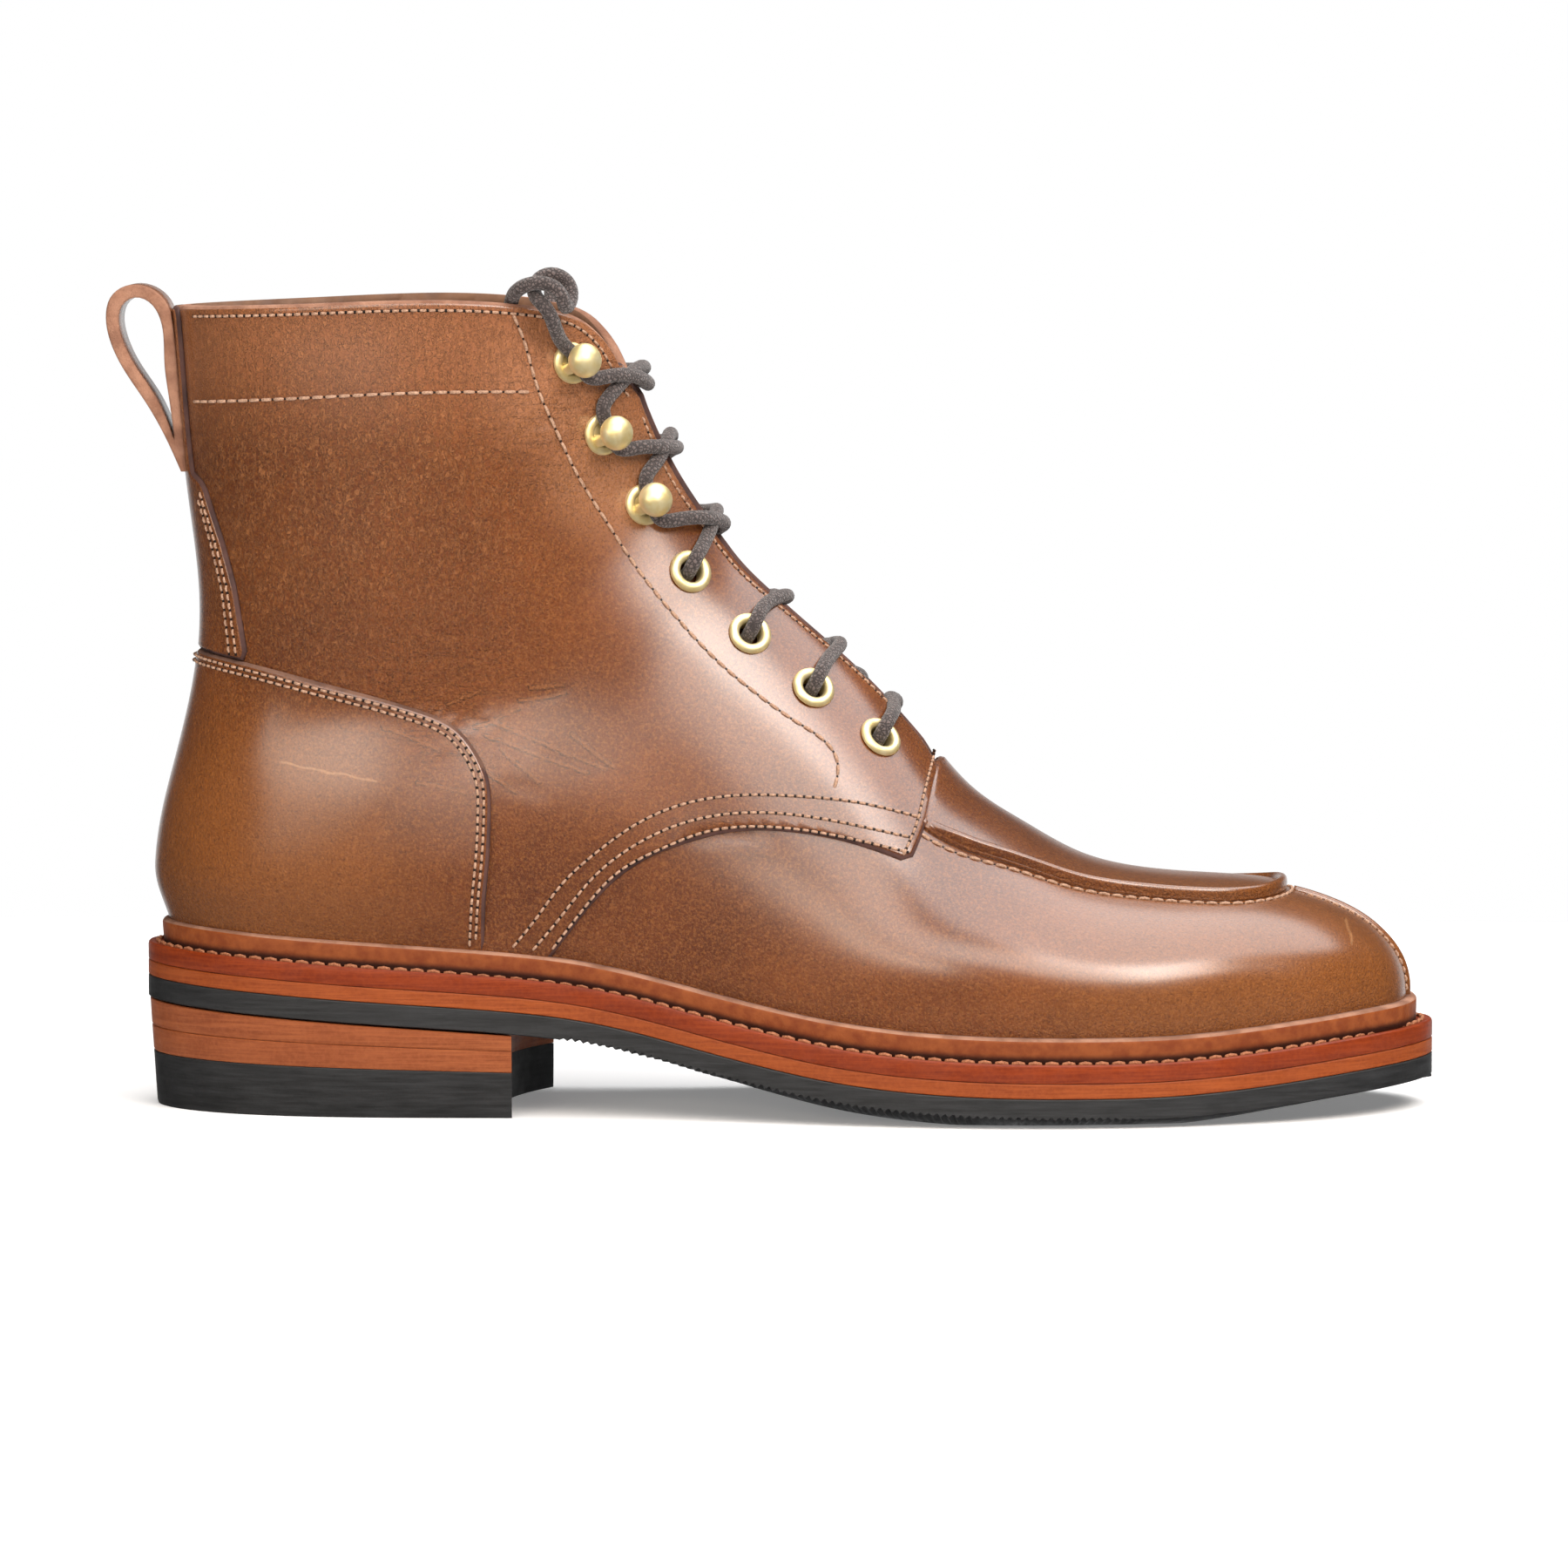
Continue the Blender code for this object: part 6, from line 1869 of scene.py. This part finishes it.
def make_stitches():
    """Rows of stitches on both sides: quarters, eyestay, collar, facings and counter."""
    rows = []
    collar = inset_line([COLLAR_ROW_START, *COLLAR[2:-1]], COLLAR_INSET)
    front = inset_line(QUARTER_EDGE[1:5], FACING_INSET)
    for side, sign in SIDES:
        for route in QUARTER_ROWS:
            rows.append((*side_run(route, side), QUARTER_STEP, CLOSE_STITCH))
        for route in (EYESTAY_ROW, COLLAR_BAND_ROW):
            rows.append((*side_run(route, side), QUARTER_STEP, LONG_STITCH))
        for run in (side_run(collar, side), facing_run(sign), side_run(front, side)):
            rows.append((*run, QUARTER_STEP, CLOSE_STITCH))
        for inset in DOUBLE_ROW:
            places, normals = side_run(inset_line([*COUNTER_EDGE[1:], COUNTER_FOOT], inset), side)
            places = places + normals * counter_lift(places)[:, None]
            rows.append((places, normals, OVERLAY_TOP, CLOSE_STITCH))
    add_stitches("stitches", rows, THREAD)


BACKSTAY_STITCH_Z = np.arange(108.0, 147.0, 0.5)
BACKSTAY_STITCH_BEHIND = -90.0
BACKSTAY_TURNED = 0.15
SPLIT_STITCH_Z = np.arange(50.0, 26.0, -0.4)
SPLIT_STITCH_AWAY = 3.4
SPLIT_STITCH_AHEAD = 118.0
APRON_STITCH_AWAY = 1.3


def at_back(points, normals):
    return (points[:, 0] < BACKSTAY_STITCH_BEHIND) & (normals[:, 0] < -BACKSTAY_TURNED)


def at_toe(points, normals):
    return (points[:, 0] > SPLIT_STITCH_AHEAD) & (normals[:, 0] > TURNED)


def make_overlay_stitches():
    """Stitches along the backstay, around the apron and down the split toe."""
    rows = []
    for _, sign in SIDES:
        for inset in DOUBLE_ROW:
            plan = [(sign * (backstay_half(z) - inset), z) for z in BACKSTAY_STITCH_Z]
            rows.append((*nearest_run(plan, (1, 2), at_back), BACKSTAY_TOP, CLOSE_STITCH))
    rows.append((*apron_run(APRON_STITCH_AWAY), 0.0, LONG_STITCH))
    for _, sign in SIDES:
        plan = [(FOOT_ROWS[0].middle + sign * SPLIT_STITCH_AWAY, z) for z in SPLIT_STITCH_Z]
        rows.append((*nearest_run(plan, (1, 2), at_toe), 0.0, CLOSE_STITCH))
    add_stitches("overlay_stitches", rows, THREAD)


WELT_STITCH_STEPS = 700
WELT_STITCH_INSET = 2.3
WELT_STITCH_SUNK = -0.25


def make_welt_stitches():
    loop, out = sole_loop(WELT_STITCH_STEPS)
    plan = loop - out * WELT_STITCH_INSET
    places = np.column_stack([plan, welt_top(plan[:, 0])])
    normals = np.tile([0.0, 0.0, 1.0], (len(places), 1))
    add_stitches("welt_stitches", [(places, normals, WELT_STITCH_SUNK, WELT_STITCH)], WELT_THREAD)


# Camera, light and floor

CAMERA_AZIMUTH = math.radians(2)
CAMERA_AWAY = 2150.0
CAMERA_HEIGHT = 252.0
CAMERA_TARGET = Vector((3.0, 0.0, 76.1)) * MM
CAMERA_MIDDLE = 3.0
CAMERA_LENS = 208.8
CAMERA_SENSOR = 36
CAMERA_SIGHT = 20


def added(name, data):
    """A new object in the scene."""
    item = bpy.data.objects.new(name, data)
    bpy.context.scene.collection.objects.link(item)
    return item


def aim(item, place, target):
    """Put an object at a place, looking at a target."""
    item.location = place
    item.rotation_euler = (Vector(target) - item.location).to_track_quat("-Z", "Y").to_euler()


def make_camera():
    camera = bpy.data.cameras.new("photo_camera")
    camera.lens = CAMERA_LENS
    camera.sensor_width = CAMERA_SENSOR
    camera.clip_end = CAMERA_SIGHT
    item = added("photo_camera", camera)
    across = CAMERA_AWAY * math.sin(CAMERA_AZIMUTH)
    away = -CAMERA_AWAY * math.cos(CAMERA_AZIMUTH)
    aim(item, Vector((CAMERA_MIDDLE + across, away, CAMERA_HEIGHT)) * MM, CAMERA_TARGET)
    bpy.context.scene.camera = item


SOFTBOXES = tabled("name place target size power tint", [
    ("top", (0.4, 0.0, 1.4), (0.3, 0.05, 0), (2.0, 1.8), 40, (1.0, 1.0, 1.0)),
    ("front", (0.1, -1.3, 1.0), (0, 0, 0.1), (1.5, 0.6), 13, (1.0, 0.93, 0.86)),
    ("right", (0.78, -1.0, 1.08), (0, 0, 0.12), (0.65, 0.6), 12, (1.0, 0.9, 0.82)),
    ("left", (-0.85, -1.6, 0.62), (-0.1, 0, 0.08), (1.3, 0.32), 7.5, (1.0, 0.88, 0.76)),
])

# Strength of the studio's walls: a white sweep low down behind the boot, dim elsewhere
SWEEP = 1.0
WALL_LEVEL = 0.06
SWEEP_HEIGHT = 0.2, 0.03
SWEEP_BEHIND = 0.8, 0.95
WHITE = 1.0, 1.0, 1.0, 1.0


def make_lights():
    """The softboxes and the studio's walls."""
    for box in SOFTBOXES:
        light = bpy.data.lights.new(f"softbox_{box.name}", "AREA")
        light.shape = "RECTANGLE"
        light.size, light.size_y = box.size
        light.energy = box.power
        light.color = box.tint
        aim(added(light.name, light), box.place, box.target)
    world = bpy.data.worlds.new("studio")
    walls = Nodes(world)
    way = walls.node("SeparateXYZ", [(0, walls.node("TexCoord").outputs["Generated"])]).outputs
    low = walls.node("MapRange", enumerate((way["Z"], *SWEEP_HEIGHT))).outputs[0]
    behind = walls.node("MapRange", enumerate((way["Y"], *SWEEP_BEHIND))).outputs[0]
    share = walls.node("Math", enumerate((low, behind)), operation="MULTIPLY").outputs[0]
    level = walls.node("MapRange", [(0, share), (3, WALL_LEVEL), (4, SWEEP)]).outputs[0]
    background = walls.nodes["Background"]
    background.inputs["Color"].default_value = WHITE
    walls.links.new(level, background.inputs["Strength"])
    bpy.context.scene.world = world
    bpy.context.scene.view_settings.view_transform = "Standard"


FLOOR_FRONT, FLOOR_BACK, FLOOR_SIDE = -3.0, 0.45, 2.0
FLOOR_TONE = 0.93, 0.93, 0.93, 1.0
FLOOR_GLOW = 0.2


def make_floor():
    shader = Shader("studio_floor")
    shader.set(Base_Color=FLOOR_TONE, Roughness=0.6, Emission_Color=WHITE, Emission_Strength=FLOOR_GLOW)
    mesh = bpy.data.meshes.new("studio_floor")
    front, back, side = FLOOR_FRONT, FLOOR_BACK, FLOOR_SIDE
    points = [(-side, front, 0), (side, front, 0), (side, back, 0), (-side, back, 0)]
    mesh.from_pydata(points, [], [[0, 1, 2, 3]])
    mesh.materials.append(shader.material)
    floor = added("studio_floor", mesh)
    floor.visible_glossy = False


def main():
    make_uppers()
    make_overlays()
    make_apron()
    make_tongue()
    make_lip()
    make_sole()
    make_heel()
    make_pull_loop()
    make_hardware()
    make_lace()
    make_lace_ends()
    make_stitches()
    make_overlay_stitches()
    make_welt_stitches()
    make_camera()
    make_lights()
    make_floor()


main()

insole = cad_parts["insole"]
insole.data.materials.clear()
insole.data.materials.append(LINING_AND_SHADE)
